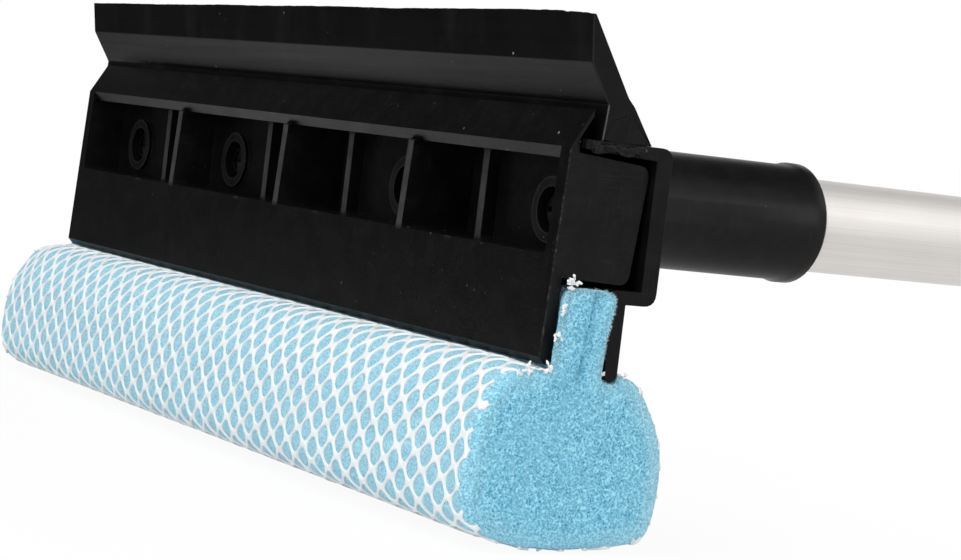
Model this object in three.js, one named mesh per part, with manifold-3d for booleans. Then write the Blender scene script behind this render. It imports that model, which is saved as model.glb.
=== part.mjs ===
// Window squeegee: a clamped head with a rubber blade and a netted sponge, on a socket, a pole and a grip.
//
// Millimetres, +Z up, X along the head, +Y along the pole. The head's outlines are drawn in Y and Z, from the
// channel's back face (Y = 0) and the pole's axis (Z = 0). The whole is then set down on the net's underside,
// so that the part's origin is the middle of the flat that the sponge rests on.

import * as THREE from "three";
import { mergeVertices } from "three/addons/utils/BufferGeometryUtils.js";
import Module from "manifold-3d";

const wasm = await Module();
wasm.setup();

// Driving dimensions: clearances
const SEAT = 0.3; // between pieces that touch
const POLE_FIT = 0.2; // between the pole and its socket, all round

// Driving dimensions: rear channel
const HEAD_LENGTH = 200;
const CHANNEL_TOP = 11.9; // above the pole's axis
const CHANNEL_HEIGHT = 25.3;
const CHANNEL_BACK = 3;
const CHANNEL_ARM = 2.2;
const CHANNEL_CORNER = 2.2;
const TOP_ARM_REACH = 16.7;
const TOP_ARM_THINNING = 0.7; // the top arm's underside rises by this at its front edge
const REAR_JAW_REACH = 8.2; // from the back face to the face that grips the sponge
const REAR_JAW_WALL = 2.5;
const REAR_JAW_DROP = 12.3; // below the channel's underside
const RIDGE_FRONT = 12.5; // the ridge that carries the blade, from the back face
const RIDGE_BACK = 9.2;
const RIDGE_RISE = 3.2;
const RIDGE_SLOPE = 1.4; // the ridge is higher at its back edge by this
const RIDGE_UNDERCUT = 0.7;
const SCREW_BOSS_DIAMETER = 8.5;
const SCREW_BOSS_HEIGHT = 5;
const SCREW_BOSS_FLOOR = 1; // left over the screw's tip

// Driving dimensions: blade
const BLADE_HEIGHT = 19.2; // above the channel
const BLADE_TIP_REACH = 18.2; // from the channel's back face
const BLADE_TIP_WIDTH = 0.5;
const BLADE_FACE_HEIGHT = 7.3;
const BLADE_FACE_LEAN = 0.8; // the face's lower edge lies further back by this
const BLADE_NECK_REACH = 13.8;
const BLADE_NECK_HEIGHT = 6;
const BLADE_HEEL_REACH = 4.3;

// Driving dimensions: front frame
const FRAME_INSET = 1.2; // from the head's end to the frame's
const NECK_SPACE = 9.3; // between the two jaws' gripping faces
const FRONT_JAW_WALL = 2.5;
const FRONT_JAW_DROP = 10.4; // below the channel's underside
const FRONT_JAW_CHAMFER = 1.2;
const FRAME_LEAN = 1.3; // the nose lies further back than the jaw by this
const NOSE_DROP = 1.5; // below the channel's top
const LIP_RISE = 6.2;
const LIP_RUN = 3.6;
const LIP_WALL = 1.1;
const ARM_POCKET = 0.4; // between the top arm's front edge and the frame
const BLOCK_TOP_GAP = 1.1; // between the block's top rear edge and the top arm
const BLOCK_TILT_GAP = 2; // between the block's lower rear edge and the back wall
const BLOCK_FLOOR_GAP = 0.7; // between the block's underside and the bottom arm
const BLOCK_RISE = 0.5; // the block's underside is higher at the jaw by this
const BLOCK_CORNER = 2;
const COMPARTMENTS = 4;
const END_WALL = 2.8;
const RIB_WALL = 2;
const OPENING_DROP = 3.3; // from the channel's top to the top of the compartments
const OPENING_HEIGHT = 15.2;
const OPENING_CORNER = 1;
const LEDGE_HEIGHT = 1.8;
const LEDGE_DEPTH = 1;
const INNER_RIB_RECESS = 5.5; // behind the frame's front, at the pole's axis
const INNER_RIB_WALL = 2;
const DEEP_FLOOR = 13;
const DEEP_WIDTH = 15;
const SHALLOW_FLOOR = 8;
const RING_DIAMETER = 11;
const RING_HEIGHT = 0.8;
const RING_INSET = 11.8; // from a compartment's outer wall to its screw

// Driving dimensions: screws
const CLAMP_HEAD_DIAMETER = 7;
const CLAMP_HEAD_HEIGHT = 2.4;
const CLAMP_HEAD_RECESS = 0.6; // from the ring's face to the top of the head
const CLAMP_SHANK_DIAMETER = 3.4;
const SOCKET_HEAD_DIAMETER = 6.6;
const SOCKET_SHANK_DIAMETER = 3.2;
const SOCKET_SCREW_LENGTH = 8;
const SOCKET_SCREW_INSET = 7; // from the flange's end
const SOCKET_SCREW_RISE = 13; // between the two rows
const DRIVE_LENGTH = 3.6; // of one arm of the cross in a screw's head
const DRIVE_WIDTH = 0.8;
const DRIVE_DEPTH = 1;

// Driving dimensions: sponge and net
const SPONGE_OVERHANG = 3; // past each end of the head
const SPONGE_HALF_WIDTH = 17.3;
const SPONGE_BELLY = 40; // below the pole's axis, where the sponge is widest
const SPONGE_BASE = 52; // below the pole's axis
const SPONGE_FLAT_HALF = 10.5;
const SPONGE_SHOULDER_HALF = 9;
const NECK_TOP = 12.2; // below the pole's axis
const NECK_CROWN = 0.9;
const SLIT_WIDTH = 0.6;
const SLIT_DEPTH = 15;
const NET_WALL = 0.6;
const NET_DRAPE = 0.5; // the net's straight strands stand off the round foam by this
const NET_MARGIN = 2; // from the sponge's end to the net's
const NET_STEPS = 32; // half meshes along the head
const NET_ROWS = 20; // half meshes round the sponge
const NET_STRAND = 1.5;

// Driving dimensions: socket, pole and grip
const SOCKET_LENGTH = 104;
const SOCKET_ROOT_DIAMETER = 23.9;
const SOCKET_MOUTH_DIAMETER = 24.7;
const SOCKET_BEAD = 0.5;
const SOCKET_BEAD_LENGTH = 4;
const SOCKET_ROUND = 1;
const FLANGE_GAP = 1.05; // from the flange's end to the nearest screw boss
const FLANGE_HEIGHT = 22;
const FLANGE_WALL = 6;
const FLANGE_CORNER = 5;
const GUSSET_WALL = 5;
const GUSSET_LENGTH = 34;
const POLE_DIAMETER = 20;
const POLE_WALL = 1;
const POLE_LENGTH = 560;
const POLE_DEPTH = 70; // inside the socket
const GRIP_LENGTH = 118;
const GRIP_WALL = 3;
const GRIP_COLLAR = 2;
const GRIP_COLLAR_LENGTH = 5;
const GRIP_RINGS = 8;
const GRIP_RING_DEPTH = 0.8;
const CAP_PLUG_LENGTH = 18;
const CAP_FLANGE_HEIGHT = 4;
const CAP_ROUND = 1.5;
const TAB_WIDTH = 18;
const TAB_LENGTH = 20; // from the flange to the middle of the hole
const TAB_WALL = 7;
const HANG_HOLE_DIAMETER = 9;

// Smoothness
const ARC_STEPS = 5; // in a rounded corner
const CURVE_STEPS = 14; // in one curve of the sponge
const SCREW_SIDES = 20;
const TUBE_SIDES = 48;
const MERGE_DISTANCE = 1e-4;

// Places that several pieces share
const AXIS_X = new THREE.Vector3(1, 0, 0);
const AXIS_Y = new THREE.Vector3(0, 1, 0);
const AXIS_Z = new THREE.Vector3(0, 0, 1);
const halfHead = HEAD_LENGTH / 2;
const halfFrame = halfHead - FRAME_INSET;
const channelBottom = CHANNEL_TOP - CHANNEL_HEIGHT;
const innerTop = CHANNEL_TOP - CHANNEL_ARM;
const innerBottom = channelBottom + CHANNEL_ARM;
const rearJawTip = channelBottom - REAR_JAW_DROP;
const frontJawTip = channelBottom - FRONT_JAW_DROP;
const frontJawFace = -(REAR_JAW_REACH + NECK_SPACE);
const frontJawFront = frontJawFace - FRONT_JAW_WALL;
const noseHeight = CHANNEL_TOP - NOSE_DROP;
const noseFront = frontJawFront + FRAME_LEAN;
const neckMiddle = -(REAR_JAW_REACH + NECK_SPACE / 2);
const netGap = SEAT + NET_DRAPE;
const netRoom = netGap + NET_WALL + SEAT;
const neckHalf = NECK_SPACE / 2 - netRoom;
const openingTop = CHANNEL_TOP - OPENING_DROP;
const openingBottom = openingTop - OPENING_HEIGHT;
const poleRadius = POLE_DIAMETER / 2;
const poleStart = SOCKET_LENGTH - POLE_DEPTH;
const poleEnd = poleStart + POLE_LENGTH;
const gripRadius = poleRadius + SEAT + GRIP_WALL;
const spongeLength = HEAD_LENGTH + 2 * SPONGE_OVERHANG;

// The frame's front face leans back towards the nose: its Y at a height.
function frontAt(height) {
  const share = (height - frontJawTip) / (noseHeight - frontJawTip);
  return frontJawFront + FRAME_LEAN * share;
}
const frontAtAxis = frontAt(0);
const ringFace = frontAtAxis + SHALLOW_FLOOR - RING_HEIGHT;
const clampHeadTop = ringFace + CLAMP_HEAD_RECESS;
const clampHeadSeat = clampHeadTop + CLAMP_HEAD_HEIGHT;
const clampTip = SCREW_BOSS_HEIGHT - SCREW_BOSS_FLOOR - SEAT;

// Each compartment's ends along the head, and the place of its screw.
function compartmentSpans() {
  const inside = 2 * (halfFrame - END_WALL);
  const width = (inside - (COMPARTMENTS - 1) * RIB_WALL) / COMPARTMENTS;
  return Array.from({ length: COMPARTMENTS }, (_, i) => {
    const low = -inside / 2 + i * (width + RIB_WALL);
    const high = low + width;
    const outward = low + high > 0 ? 1 : -1;
    const outer = outward > 0 ? high : low;
    const inner = outward > 0 ? low : high;
    return { low, high, outward, inner, outer, screw: outer - outward * RING_INSET };
  });
}
const compartments = compartmentSpans();
const nearestScrew = Math.min(...compartments.map(({ screw }) => Math.abs(screw)));
const flangeHalf = nearestScrew - SCREW_BOSS_DIAMETER / 2 - FLANGE_GAP;

// A closed outline of corners [across, up, radius]: a corner that has a radius is rounded, within its sides.
function outline(corners) {
  const shape = new THREE.Shape();
  const points = corners.map(([x, y]) => new THREE.Vector2(x, y));
  points.forEach((corner, i) => {
    const before = points[(i + points.length - 1) % points.length];
    const after = points[(i + 1) % points.length];
    const radius = corners[i][2] ?? 0;
    const toBefore = before.clone().sub(corner);
    const toAfter = after.clone().sub(corner);
    const half = Math.abs(toBefore.angleTo(toAfter)) / 2;
    const room = Math.min(toBefore.length(), toAfter.length()) / 2;
    const inset = Math.min(radius / Math.tan(half), room);
    const start = corner.clone().add(toBefore.setLength(inset));
    const end = corner.clone().add(toAfter.setLength(inset));
    if (i === 0) shape.moveTo(start.x, start.y);
    else shape.lineTo(start.x, start.y);
    if (inset > 0) shape.quadraticCurveTo(corner.x, corner.y, end.x, end.y);
  });
  return shape;
}

// A rectangle with rounded corners, by its lowest and highest corner.
function rounded(x0, y0, x1, y1, radius) {
  return outline([
    [x0, y0, radius],
    [x1, y0, radius],
    [x1, y1, radius],
    [x0, y1, radius],
  ]);
}

// An outline in Y and Z, run along the head between two places.
function alongHead(shape, from, to, curveSegments = ARC_STEPS) {
  const geometry = new THREE.ExtrudeGeometry(shape, { depth: to - from, bevelEnabled: false, curveSegments });
  geometry.applyMatrix4(new THREE.Matrix4().makeBasis(AXIS_Y, AXIS_Z, AXIS_X));
  return geometry.translate(from, 0, 0);
}

// An outline in X and Z, run along the pole between two places.
function alongPole(shape, from, to, curveSegments = ARC_STEPS) {
  const geometry = new THREE.ExtrudeGeometry(shape, { depth: to - from, bevelEnabled: false, curveSegments });
  geometry.applyMatrix4(new THREE.Matrix4().makeBasis(AXIS_X, AXIS_Z, AXIS_Y.clone().negate()));
  return geometry.translate(0, to, 0);
}

// An outline in X and Y, run upwards between two heights.
function upwards(shape, from, to, curveSegments = ARC_STEPS) {
  const geometry = new THREE.ExtrudeGeometry(shape, { depth: to - from, bevelEnabled: false, curveSegments });
  return geometry.translate(0, 0, from);
}

// A profile of [radius, along] turned about the pole's direction.
function turned(profile, sides = TUBE_SIDES) {
  const points = profile.map(([radius, along]) => new THREE.Vector2(radius, along));
  return new THREE.LatheGeometry(points, sides);
}

// A plain round bar along the pole's direction, for joins and cuts.
function bar(radius, from, to, sides = TUBE_SIDES) {
  return turned([[0, from], [radius, from], [radius, to], [0, to]], sides);
}

// A geometry as a solid that can be joined and cut.
function toSolid(geometry) {
  const bare = geometry.clone();
  bare.deleteAttribute("normal");
  bare.deleteAttribute("uv");
  const merged = mergeVertices(bare, MERGE_DISTANCE);
  const vertProperties = merged.attributes.position.array;
  const triVerts = new Uint32Array(merged.index.array);
  return new wasm.Manifold(new wasm.Mesh({ numProp: 3, vertProperties, triVerts }));
}

// One geometry joined from several, less what several others cut away.
function carve(joined, removed = []) {
  const whole = joined.map(toSolid).reduce((sum, next) => sum.add(next));
  const left = removed.map(toSolid).reduce((rest, next) => rest.subtract(next), whole);
  const mesh = left.getMesh();
  const geometry = new THREE.BufferGeometry();
  geometry.setAttribute("position", new THREE.BufferAttribute(mesh.vertProperties, 3));
  geometry.setIndex(new THREE.BufferAttribute(mesh.triVerts, 1));
  geometry.computeVertexNormals();
  return geometry;
}

// The ridge on the channel that the blade slides over, grown all round by a clearance.
function ridgeOutline(grown, foot) {
  const front = -RIDGE_FRONT - grown;
  const back = -RIDGE_BACK + grown;
  const top = CHANNEL_TOP + RIDGE_RISE + grown;
  return outline([
    [front + RIDGE_UNDERCUT, foot],
    [back - RIDGE_UNDERCUT / 2, foot],
    [back, top + RIDGE_SLOPE],
    [front, top],
  ]);
}

// Rear channel: a C section with the rear jaw, the blade's ridge and the blind bosses for the clamp screws.
function rearChannel() {
  const section = outline([
    [0, CHANNEL_TOP, CHANNEL_CORNER],
    [-TOP_ARM_REACH, CHANNEL_TOP],
    [-TOP_ARM_REACH, innerTop + TOP_ARM_THINNING],
    [-CHANNEL_BACK, innerTop],
    [-CHANNEL_BACK, innerBottom],
    [-REAR_JAW_REACH, innerBottom],
    [-REAR_JAW_REACH, rearJawTip, REAR_JAW_WALL / 2],
    [-REAR_JAW_REACH + REAR_JAW_WALL, rearJawTip, REAR_JAW_WALL / 2],
    [-REAR_JAW_REACH + REAR_JAW_WALL, channelBottom],
    [0, channelBottom, CHANNEL_CORNER],
  ]);
  const ridge = ridgeOutline(0, innerTop + CHANNEL_ARM / 2);
  const shank = CLAMP_SHANK_DIAMETER / 2 + SEAT;
  const bosses = compartments.map(({ screw }) =>
    bar(SCREW_BOSS_DIAMETER / 2, -CHANNEL_BACK / 2, SCREW_BOSS_HEIGHT, SCREW_SIDES).translate(screw, 0, 0),
  );
  const pilots = compartments.map(({ screw }) =>
    bar(shank, -2 * CHANNEL_BACK, SCREW_BOSS_HEIGHT - SCREW_BOSS_FLOOR, SCREW_SIDES).translate(screw, 0, 0),
  );
  const sinks = socketScrewPlaces().map(([x, z]) => socketScrewSpace(SEAT).translate(x, 0, z));
  return carve(
    [alongHead(section, -halfHead, halfHead), alongHead(ridge, -halfHead, halfHead), ...bosses],
    [...pilots, ...sinks],
  );
}

// Blade: a rubber wedge with an upright face, an undercut and a neck, grooved to slide over the ridge.
function blade() {
  const foot = CHANNEL_TOP + SEAT;
  const tip = CHANNEL_TOP + BLADE_HEIGHT;
  const faceLow = tip - BLADE_FACE_HEIGHT;
  const section = outline([
    [-BLADE_HEEL_REACH, foot],
    [-BLADE_TIP_REACH + BLADE_TIP_WIDTH, tip],
    [-BLADE_TIP_REACH, tip],
    [-BLADE_TIP_REACH + BLADE_FACE_LEAN, faceLow],
    [-BLADE_NECK_REACH, CHANNEL_TOP + BLADE_NECK_HEIGHT],
    [-BLADE_NECK_REACH, foot],
  ]);
  const groove = ridgeOutline(SEAT, CHANNEL_TOP - SEAT);
  const overrun = halfHead + SEAT;
  return carve([alongHead(section, -halfHead, halfHead)], [alongHead(groove, -overrun, overrun)]);
}

// The recess of one compartment between two places along the head, to a depth behind the frame's front.
function compartmentCut(low, high, depth) {
  const mouth = frontJawFront - FRONT_JAW_WALL;
  const space = rounded(low, openingBottom, high, openingTop, OPENING_CORNER);
  return alongPole(space, mouth, frontAtAxis + depth);
}

// Front frame: a clamp moulding with a nose and lip, open compartments with ribs, and the front jaw.
function frontFrame() {
  const armFront = -TOP_ARM_REACH - ARM_POCKET;
  const lipTop = noseHeight + LIP_RISE;
  const lipBack = noseFront + LIP_RUN;
  const blockBack = -CHANNEL_BACK - SEAT;
  const section = outline([
    [frontJawFront, frontJawTip + FRONT_JAW_CHAMFER],
    [frontJawFront + FRONT_JAW_CHAMFER, frontJawTip],
    [frontJawFace, frontJawTip],
    [frontJawFace, innerBottom + BLOCK_FLOOR_GAP + BLOCK_RISE],
    [-CHANNEL_BACK - BLOCK_TILT_GAP, innerBottom + BLOCK_FLOOR_GAP, BLOCK_CORNER],
    [blockBack, innerTop - BLOCK_TOP_GAP, BLOCK_CORNER],
    [armFront, innerTop],
    [armFront, lipTop - LIP_WALL - (lipBack - armFront) * (LIP_RISE / LIP_RUN)],
    [lipBack, lipTop - LIP_WALL],
    [lipBack, lipTop],
    [noseFront, noseHeight],
  ]);
  const ledge = outline([
    [noseFront - LEDGE_DEPTH, noseHeight],
    [noseFront - LEDGE_DEPTH, openingTop],
    [frontAt(openingTop) + LEDGE_DEPTH, openingTop],
    [noseFront, openingTop + LEDGE_HEIGHT],
  ]);
  const shank = CLAMP_SHANK_DIAMETER / 2 + SEAT;
  const head = CLAMP_HEAD_DIAMETER / 2 + SEAT;
  const floor = frontAtAxis + SHALLOW_FLOOR;
  const cuts = [alongHead(ledge, -halfFrame + END_WALL, halfFrame - END_WALL)];
  const rings = [];
  const holes = [];
  compartments.forEach(({ low, high, outward, inner, outer, screw }) => {
    const deepEdge = inner + outward * DEEP_WIDTH;
    const shallowEdge = deepEdge + outward * INNER_RIB_WALL;
    const deep = [inner, deepEdge].sort((a, b) => a - b);
    const shallow = [shallowEdge, outer].sort((a, b) => a - b);
    cuts.push(compartmentCut(low, high, INNER_RIB_RECESS));
    cuts.push(compartmentCut(...deep, DEEP_FLOOR));
    cuts.push(compartmentCut(...shallow, SHALLOW_FLOOR));
    rings.push(bar(RING_DIAMETER / 2, ringFace, floor + RING_HEIGHT, TUBE_SIDES / 2).translate(screw, 0, 0));
    holes.push(bar(head, ringFace - RING_HEIGHT, clampHeadSeat + SEAT, SCREW_SIDES).translate(screw, 0, 0));
    holes.push(bar(shank, ringFace, 0, SCREW_SIDES).translate(screw, 0, 0));
  });
  const hollowed = carve([alongHead(section, -halfFrame, halfFrame)], cuts);
  return carve([hollowed, ...rings], holes);
}

// The cross-shaped recess in a screw's head, facing forwards from its top.
function driveCross(top) {
  const long = DRIVE_LENGTH / 2;
  const thin = DRIVE_WIDTH / 2;
  const mouth = top - DRIVE_DEPTH;
  const floor = top + DRIVE_DEPTH;
  return [
    alongPole(rounded(-long, -thin, long, thin, 0), mouth, floor),
    alongPole(rounded(-thin, -long, thin, long, 0), mouth, floor),
  ];
}

// Clamp screw: a domed head in the frame's ring, and a pointed shank that bites in the channel's boss.
function clampScrew() {
  const head = CLAMP_HEAD_DIAMETER / 2;
  const shank = CLAMP_SHANK_DIAMETER / 2;
  const body = turned(
    [
      [0, clampHeadTop],
      [head * 0.7, clampHeadTop + CLAMP_HEAD_HEIGHT * 0.15],
      [head, clampHeadTop + CLAMP_HEAD_HEIGHT * 0.55],
      [head, clampHeadSeat],
      [shank, clampHeadSeat],
      [shank, clampTip - shank],
      [0, clampTip],
    ],
    SCREW_SIDES,
  );
  return carve([body], driveCross(clampHeadTop));
}

// The space of a socket screw in the channel's wall and the flange, grown all round by a clearance.
function socketScrewSpace(grown) {
  const top = -CHANNEL_BACK;
  const head = SOCKET_HEAD_DIAMETER / 2 + grown;
  const shank = SOCKET_SHANK_DIAMETER / 2 + grown;
  const tip = top + SOCKET_SCREW_LENGTH + grown;
  return turned(
    [
      [0, top - grown],
      [head, top - grown],
      [head, top + grown],
      [shank, top + grown + head - shank],
      [shank, tip],
      [0, tip],
    ],
    SCREW_SIDES,
  );
}

function socketScrewPlaces() {
  const x = flangeHalf - SOCKET_SCREW_INSET;
  const z = SOCKET_SCREW_RISE / 2;
  return [[-x, -z], [x, -z], [-x, z], [x, z]];
}

// Socket screw: a countersunk head, flush inside the channel, that pulls the flange to the back wall.
function socketScrew() {
  return carve([socketScrewSpace(0)], driveCross(-CHANNEL_BACK));
}

// The sponge's body from the front of its neck, round the base and up to the back of its neck.
function drawBody(path) {
  const round = 0.55; // the share of a quarter curve's reach that its control points take
  const frontShoulder = frontJawTip - netRoom;
  const rearShoulder = rearJawTip - netRoom;
  const base = -SPONGE_BASE;
  const belly = -SPONGE_BELLY;
  const shoulderReach = SPONGE_HALF_WIDTH - SPONGE_SHOULDER_HALF;
  const baseReach = SPONGE_HALF_WIDTH - SPONGE_FLAT_HALF;
  const side = (sign, share) => neckMiddle + sign * share;
  const shoulderPull = SPONGE_SHOULDER_HALF + round * shoulderReach;
  const basePull = SPONGE_FLAT_HALF + round * baseReach;
  const baseRise = belly + round * (base - belly);
  const front = belly + round * (frontShoulder - belly);
  const rear = belly + round * (rearShoulder - belly);
  const wide = SPONGE_HALF_WIDTH;
  path.lineTo(side(-1, SPONGE_SHOULDER_HALF), frontShoulder);
  path.bezierCurveTo(side(-1, shoulderPull), frontShoulder, side(-1, wide), front, side(-1, wide), belly);
  path.bezierCurveTo(side(-1, wide), baseRise, side(-1, basePull), base, side(-1, SPONGE_FLAT_HALF), base);
  path.lineTo(side(1, SPONGE_FLAT_HALF), base);
  path.bezierCurveTo(side(1, basePull), base, side(1, wide), baseRise, side(1, wide), belly);
  const rearEnd = side(1, SPONGE_SHOULDER_HALF);
  path.bezierCurveTo(side(1, wide), rear, side(1, shoulderPull), rearShoulder, rearEnd, rearShoulder);
  return { frontShoulder, rearShoulder };
}

// Sponge: a rounded body under a neck whose two leaves meet at a slit.
function sponge() {
  const slit = SLIT_WIDTH / 2;
  const crown = -NECK_TOP;
  const edge = crown - NECK_CROWN;
  const shape = new THREE.Shape();
  shape.moveTo(neckMiddle - neckHalf, edge);
  shape.lineTo(neckMiddle - neckHalf, frontJawTip - netRoom);
  const { rearShoulder } = drawBody(shape);
  shape.lineTo(neckMiddle + neckHalf, rearShoulder);
  shape.lineTo(neckMiddle + neckHalf, edge);
  shape.quadraticCurveTo(neckMiddle + neckHalf, crown, neckMiddle + slit, crown);
  shape.lineTo(neckMiddle + slit, crown - SLIT_DEPTH);
  shape.lineTo(neckMiddle - slit, crown - SLIT_DEPTH);
  shape.lineTo(neckMiddle - slit, crown);
  shape.quadraticCurveTo(neckMiddle - neckHalf, crown, neckMiddle - neckHalf, edge);
  return alongHead(shape, -spongeLength / 2, spongeLength / 2, CURVE_STEPS);
}

// The rows of the net: points round the sponge, moved outwards by a distance with each stretch kept parallel.
function netRows(points, distance) {
  const outwards = points.slice(1).map((point, i) => {
    const run = point.clone().sub(points[i]).normalize();
    return new THREE.Vector2(run.y, -run.x);
  });
  return points.map((point, i) => {
    const before = outwards[Math.max(i - 1, 0)];
    const after = outwards[Math.min(i, outwards.length - 1)];
    const middle = before.clone().add(after).normalize();
    return point.clone().addScaledVector(middle, distance / middle.dot(after));
  });
}

// The way round the sponge that the net takes, from one jaw to the other.
function netPath() {
  const path = new THREE.Path();
  path.moveTo(neckMiddle - neckHalf - SEAT, frontJawTip - netRoom);
  const { rearShoulder } = drawBody(path);
  path.lineTo(neckMiddle + neckHalf + SEAT, rearShoulder);
  return path;
}

// Net: staggered meshes of one flat strand, wrapped round the sponge.
function net() {
  const path = netPath();
  const spaced = path.getSpacedPoints(NET_ROWS);
  const layers = [netRows(spaced, netGap), netRows(spaced, netGap + NET_WALL)];
  const stepLength = (spongeLength - 2 * NET_MARGIN) / NET_STEPS;
  const rowLength = path.getLength() / NET_ROWS;
  const diagonal = Math.hypot(stepLength, rowLength);
  const hole = 1 - (NET_STRAND / 2) * (diagonal / (stepLength * rowLength));
  const positions = [];
  const place = (step, row, layer) => {
    const low = Math.min(Math.floor(row), NET_ROWS - 1);
    const point = layers[layer][low].clone().lerp(layers[layer][low + 1], row - low);
    return [(step - NET_STEPS / 2) * stepLength, point.x, point.y];
  };
  const quad = (a, b, c, d) => positions.push(...a, ...b, ...c, ...a, ...c, ...d);
  const isMesh = (step, row) =>
    step > 0 && step < NET_STEPS && row > 0 && row < NET_ROWS && (step + row) % 2 === 1;
  const turns = [[-1, 0], [0, 1], [1, 0], [0, -1]];
  const strands = (step, row) =>
    turns.forEach(([across, along], i) => {
      const [nextAcross, nextAlong] = turns[(i + 1) % turns.length];
      const knots = [0, 1].map((layer) => place(step + across, row + along, layer));
      const nextKnots = [0, 1].map((layer) => place(step + nextAcross, row + nextAlong, layer));
      const rims = [0, 1].map((layer) => place(step + hole * across, row + hole * along, layer));
      const nextRims = [0, 1].map((layer) => place(step + hole * nextAcross, row + hole * nextAlong, layer));
      quad(knots[1], nextKnots[1], nextRims[1], rims[1]);
      quad(knots[0], rims[0], nextRims[0], nextKnots[0]);
      quad(rims[1], nextRims[1], nextRims[0], rims[0]);
      const beyond = isMesh(step + across + nextAcross, row + along + nextAlong);
      if (!beyond) quad(knots[0], nextKnots[0], nextKnots[1], knots[1]);
    });
  for (let step = 1; step < NET_STEPS; step += 1) {
    for (let row = 1; row < NET_ROWS; row += 1) {
      if (isMesh(step, row)) strands(step, row);
    }
  }
  const geometry = new THREE.BufferGeometry();
  geometry.setAttribute("position", new THREE.Float32BufferAttribute(positions, 3));
  geometry.computeVertexNormals();
  return geometry;
}

// Pole socket: a flange on the channel's back, two gussets, and a tube that flares to a beaded mouth.
function poleSocket() {
  const root = SOCKET_ROOT_DIAMETER / 2;
  const mouth = SOCKET_MOUTH_DIAMETER / 2;
  const bead = mouth + SOCKET_BEAD;
  const beadStart = SOCKET_LENGTH - SOCKET_BEAD_LENGTH;
  const bore = poleRadius + POLE_FIT;
  const tube = turned([
    [0, SEAT],
    [root, SEAT],
    [mouth, beadStart - SOCKET_BEAD],
    [bead, beadStart + SOCKET_BEAD],
    [bead, SOCKET_LENGTH - SOCKET_ROUND],
    [bead - SOCKET_ROUND, SOCKET_LENGTH],
    [0, SOCKET_LENGTH],
  ]);
  const plate = rounded(-flangeHalf, -FLANGE_HEIGHT / 2, flangeHalf, FLANGE_HEIGHT / 2, FLANGE_CORNER);
  const flange = alongPole(plate, SEAT, SEAT + FLANGE_WALL);
  const gussetStart = SEAT + FLANGE_WALL / 2;
  const web = outline([
    [-flangeHalf + FLANGE_CORNER, gussetStart],
    [flangeHalf - FLANGE_CORNER, gussetStart],
    [flangeHalf - FLANGE_CORNER, SEAT + FLANGE_WALL],
    [root - SOCKET_ROUND, SEAT + FLANGE_WALL + GUSSET_LENGTH],
    [-root + SOCKET_ROUND, SEAT + FLANGE_WALL + GUSSET_LENGTH],
    [-flangeHalf + FLANGE_CORNER, SEAT + FLANGE_WALL],
  ]);
  const gussets = upwards(web, -GUSSET_WALL / 2, GUSSET_WALL / 2);
  const socketBore = bar(bore, poleStart - SEAT, SOCKET_LENGTH + SEAT);
  const pilots = socketScrewPlaces().map(([x, z]) => socketScrewSpace(SEAT).translate(x, 0, z));
  return carve([tube, flange, gussets], [socketBore, ...pilots]);
}

// Pole: a plain tube.
function pole() {
  const bore = poleRadius - POLE_WALL;
  return turned([
    [bore, poleStart],
    [poleRadius, poleStart],
    [poleRadius, poleEnd],
    [bore, poleEnd],
    [bore, poleStart],
  ]);
}

// Hand grip: a sleeve with a collar towards the head and shallow rings under the hand.
function handGrip() {
  const bore = poleRadius + SEAT;
  const start = poleEnd - GRIP_LENGTH;
  const collarEnd = start + GRIP_COLLAR_LENGTH;
  const ringPitch = (GRIP_LENGTH - 2 * GRIP_COLLAR_LENGTH) / (GRIP_RINGS + 1);
  const profile = [
    [bore, start],
    [gripRadius + GRIP_COLLAR - GRIP_RING_DEPTH, start],
    [gripRadius + GRIP_COLLAR, start + GRIP_RING_DEPTH],
    [gripRadius + GRIP_COLLAR, collarEnd - GRIP_COLLAR],
    [gripRadius, collarEnd],
  ];
  for (let ring = 1; ring <= GRIP_RINGS; ring += 1) {
    const middle = collarEnd + ring * ringPitch;
    profile.push([gripRadius, middle - GRIP_RING_DEPTH]);
    profile.push([gripRadius - GRIP_RING_DEPTH, middle]);
    profile.push([gripRadius, middle + GRIP_RING_DEPTH]);
  }
  profile.push([gripRadius, poleEnd], [bore, poleEnd], [bore, start]);
  return turned(profile);
}

// Hang cap: a plug in the pole's end, a flange over the grip, and a round-ended tab with a hole to hang by.
function hangCap() {
  const plug = poleRadius - POLE_WALL - SEAT;
  const flangeStart = poleEnd + SEAT;
  const flangeEnd = flangeStart + CAP_FLANGE_HEIGHT;
  const knob = turned([
    [0, poleEnd - CAP_PLUG_LENGTH],
    [plug - CAP_ROUND, poleEnd - CAP_PLUG_LENGTH],
    [plug, poleEnd - CAP_PLUG_LENGTH + CAP_ROUND],
    [plug, flangeStart],
    [gripRadius, flangeStart],
    [gripRadius, flangeEnd - CAP_ROUND],
    [gripRadius - CAP_ROUND, flangeEnd],
    [0, flangeEnd],
  ]);
  const holeMiddle = flangeEnd + TAB_LENGTH;
  const half = TAB_WIDTH / 2;
  const tab = new THREE.Shape();
  tab.moveTo(-half, flangeStart + CAP_FLANGE_HEIGHT / 2);
  tab.lineTo(half, flangeStart + CAP_FLANGE_HEIGHT / 2);
  tab.lineTo(half, holeMiddle);
  tab.absarc(0, holeMiddle, half, 0, Math.PI, false);
  const hole = new THREE.Path();
  hole.absarc(0, holeMiddle, HANG_HOLE_DIAMETER / 2, 0, 2 * Math.PI, true);
  tab.holes.push(hole);
  return carve([knob, upwards(tab, -TAB_WALL / 2, TAB_WALL / 2, SCREW_SIDES)]);
}

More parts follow.
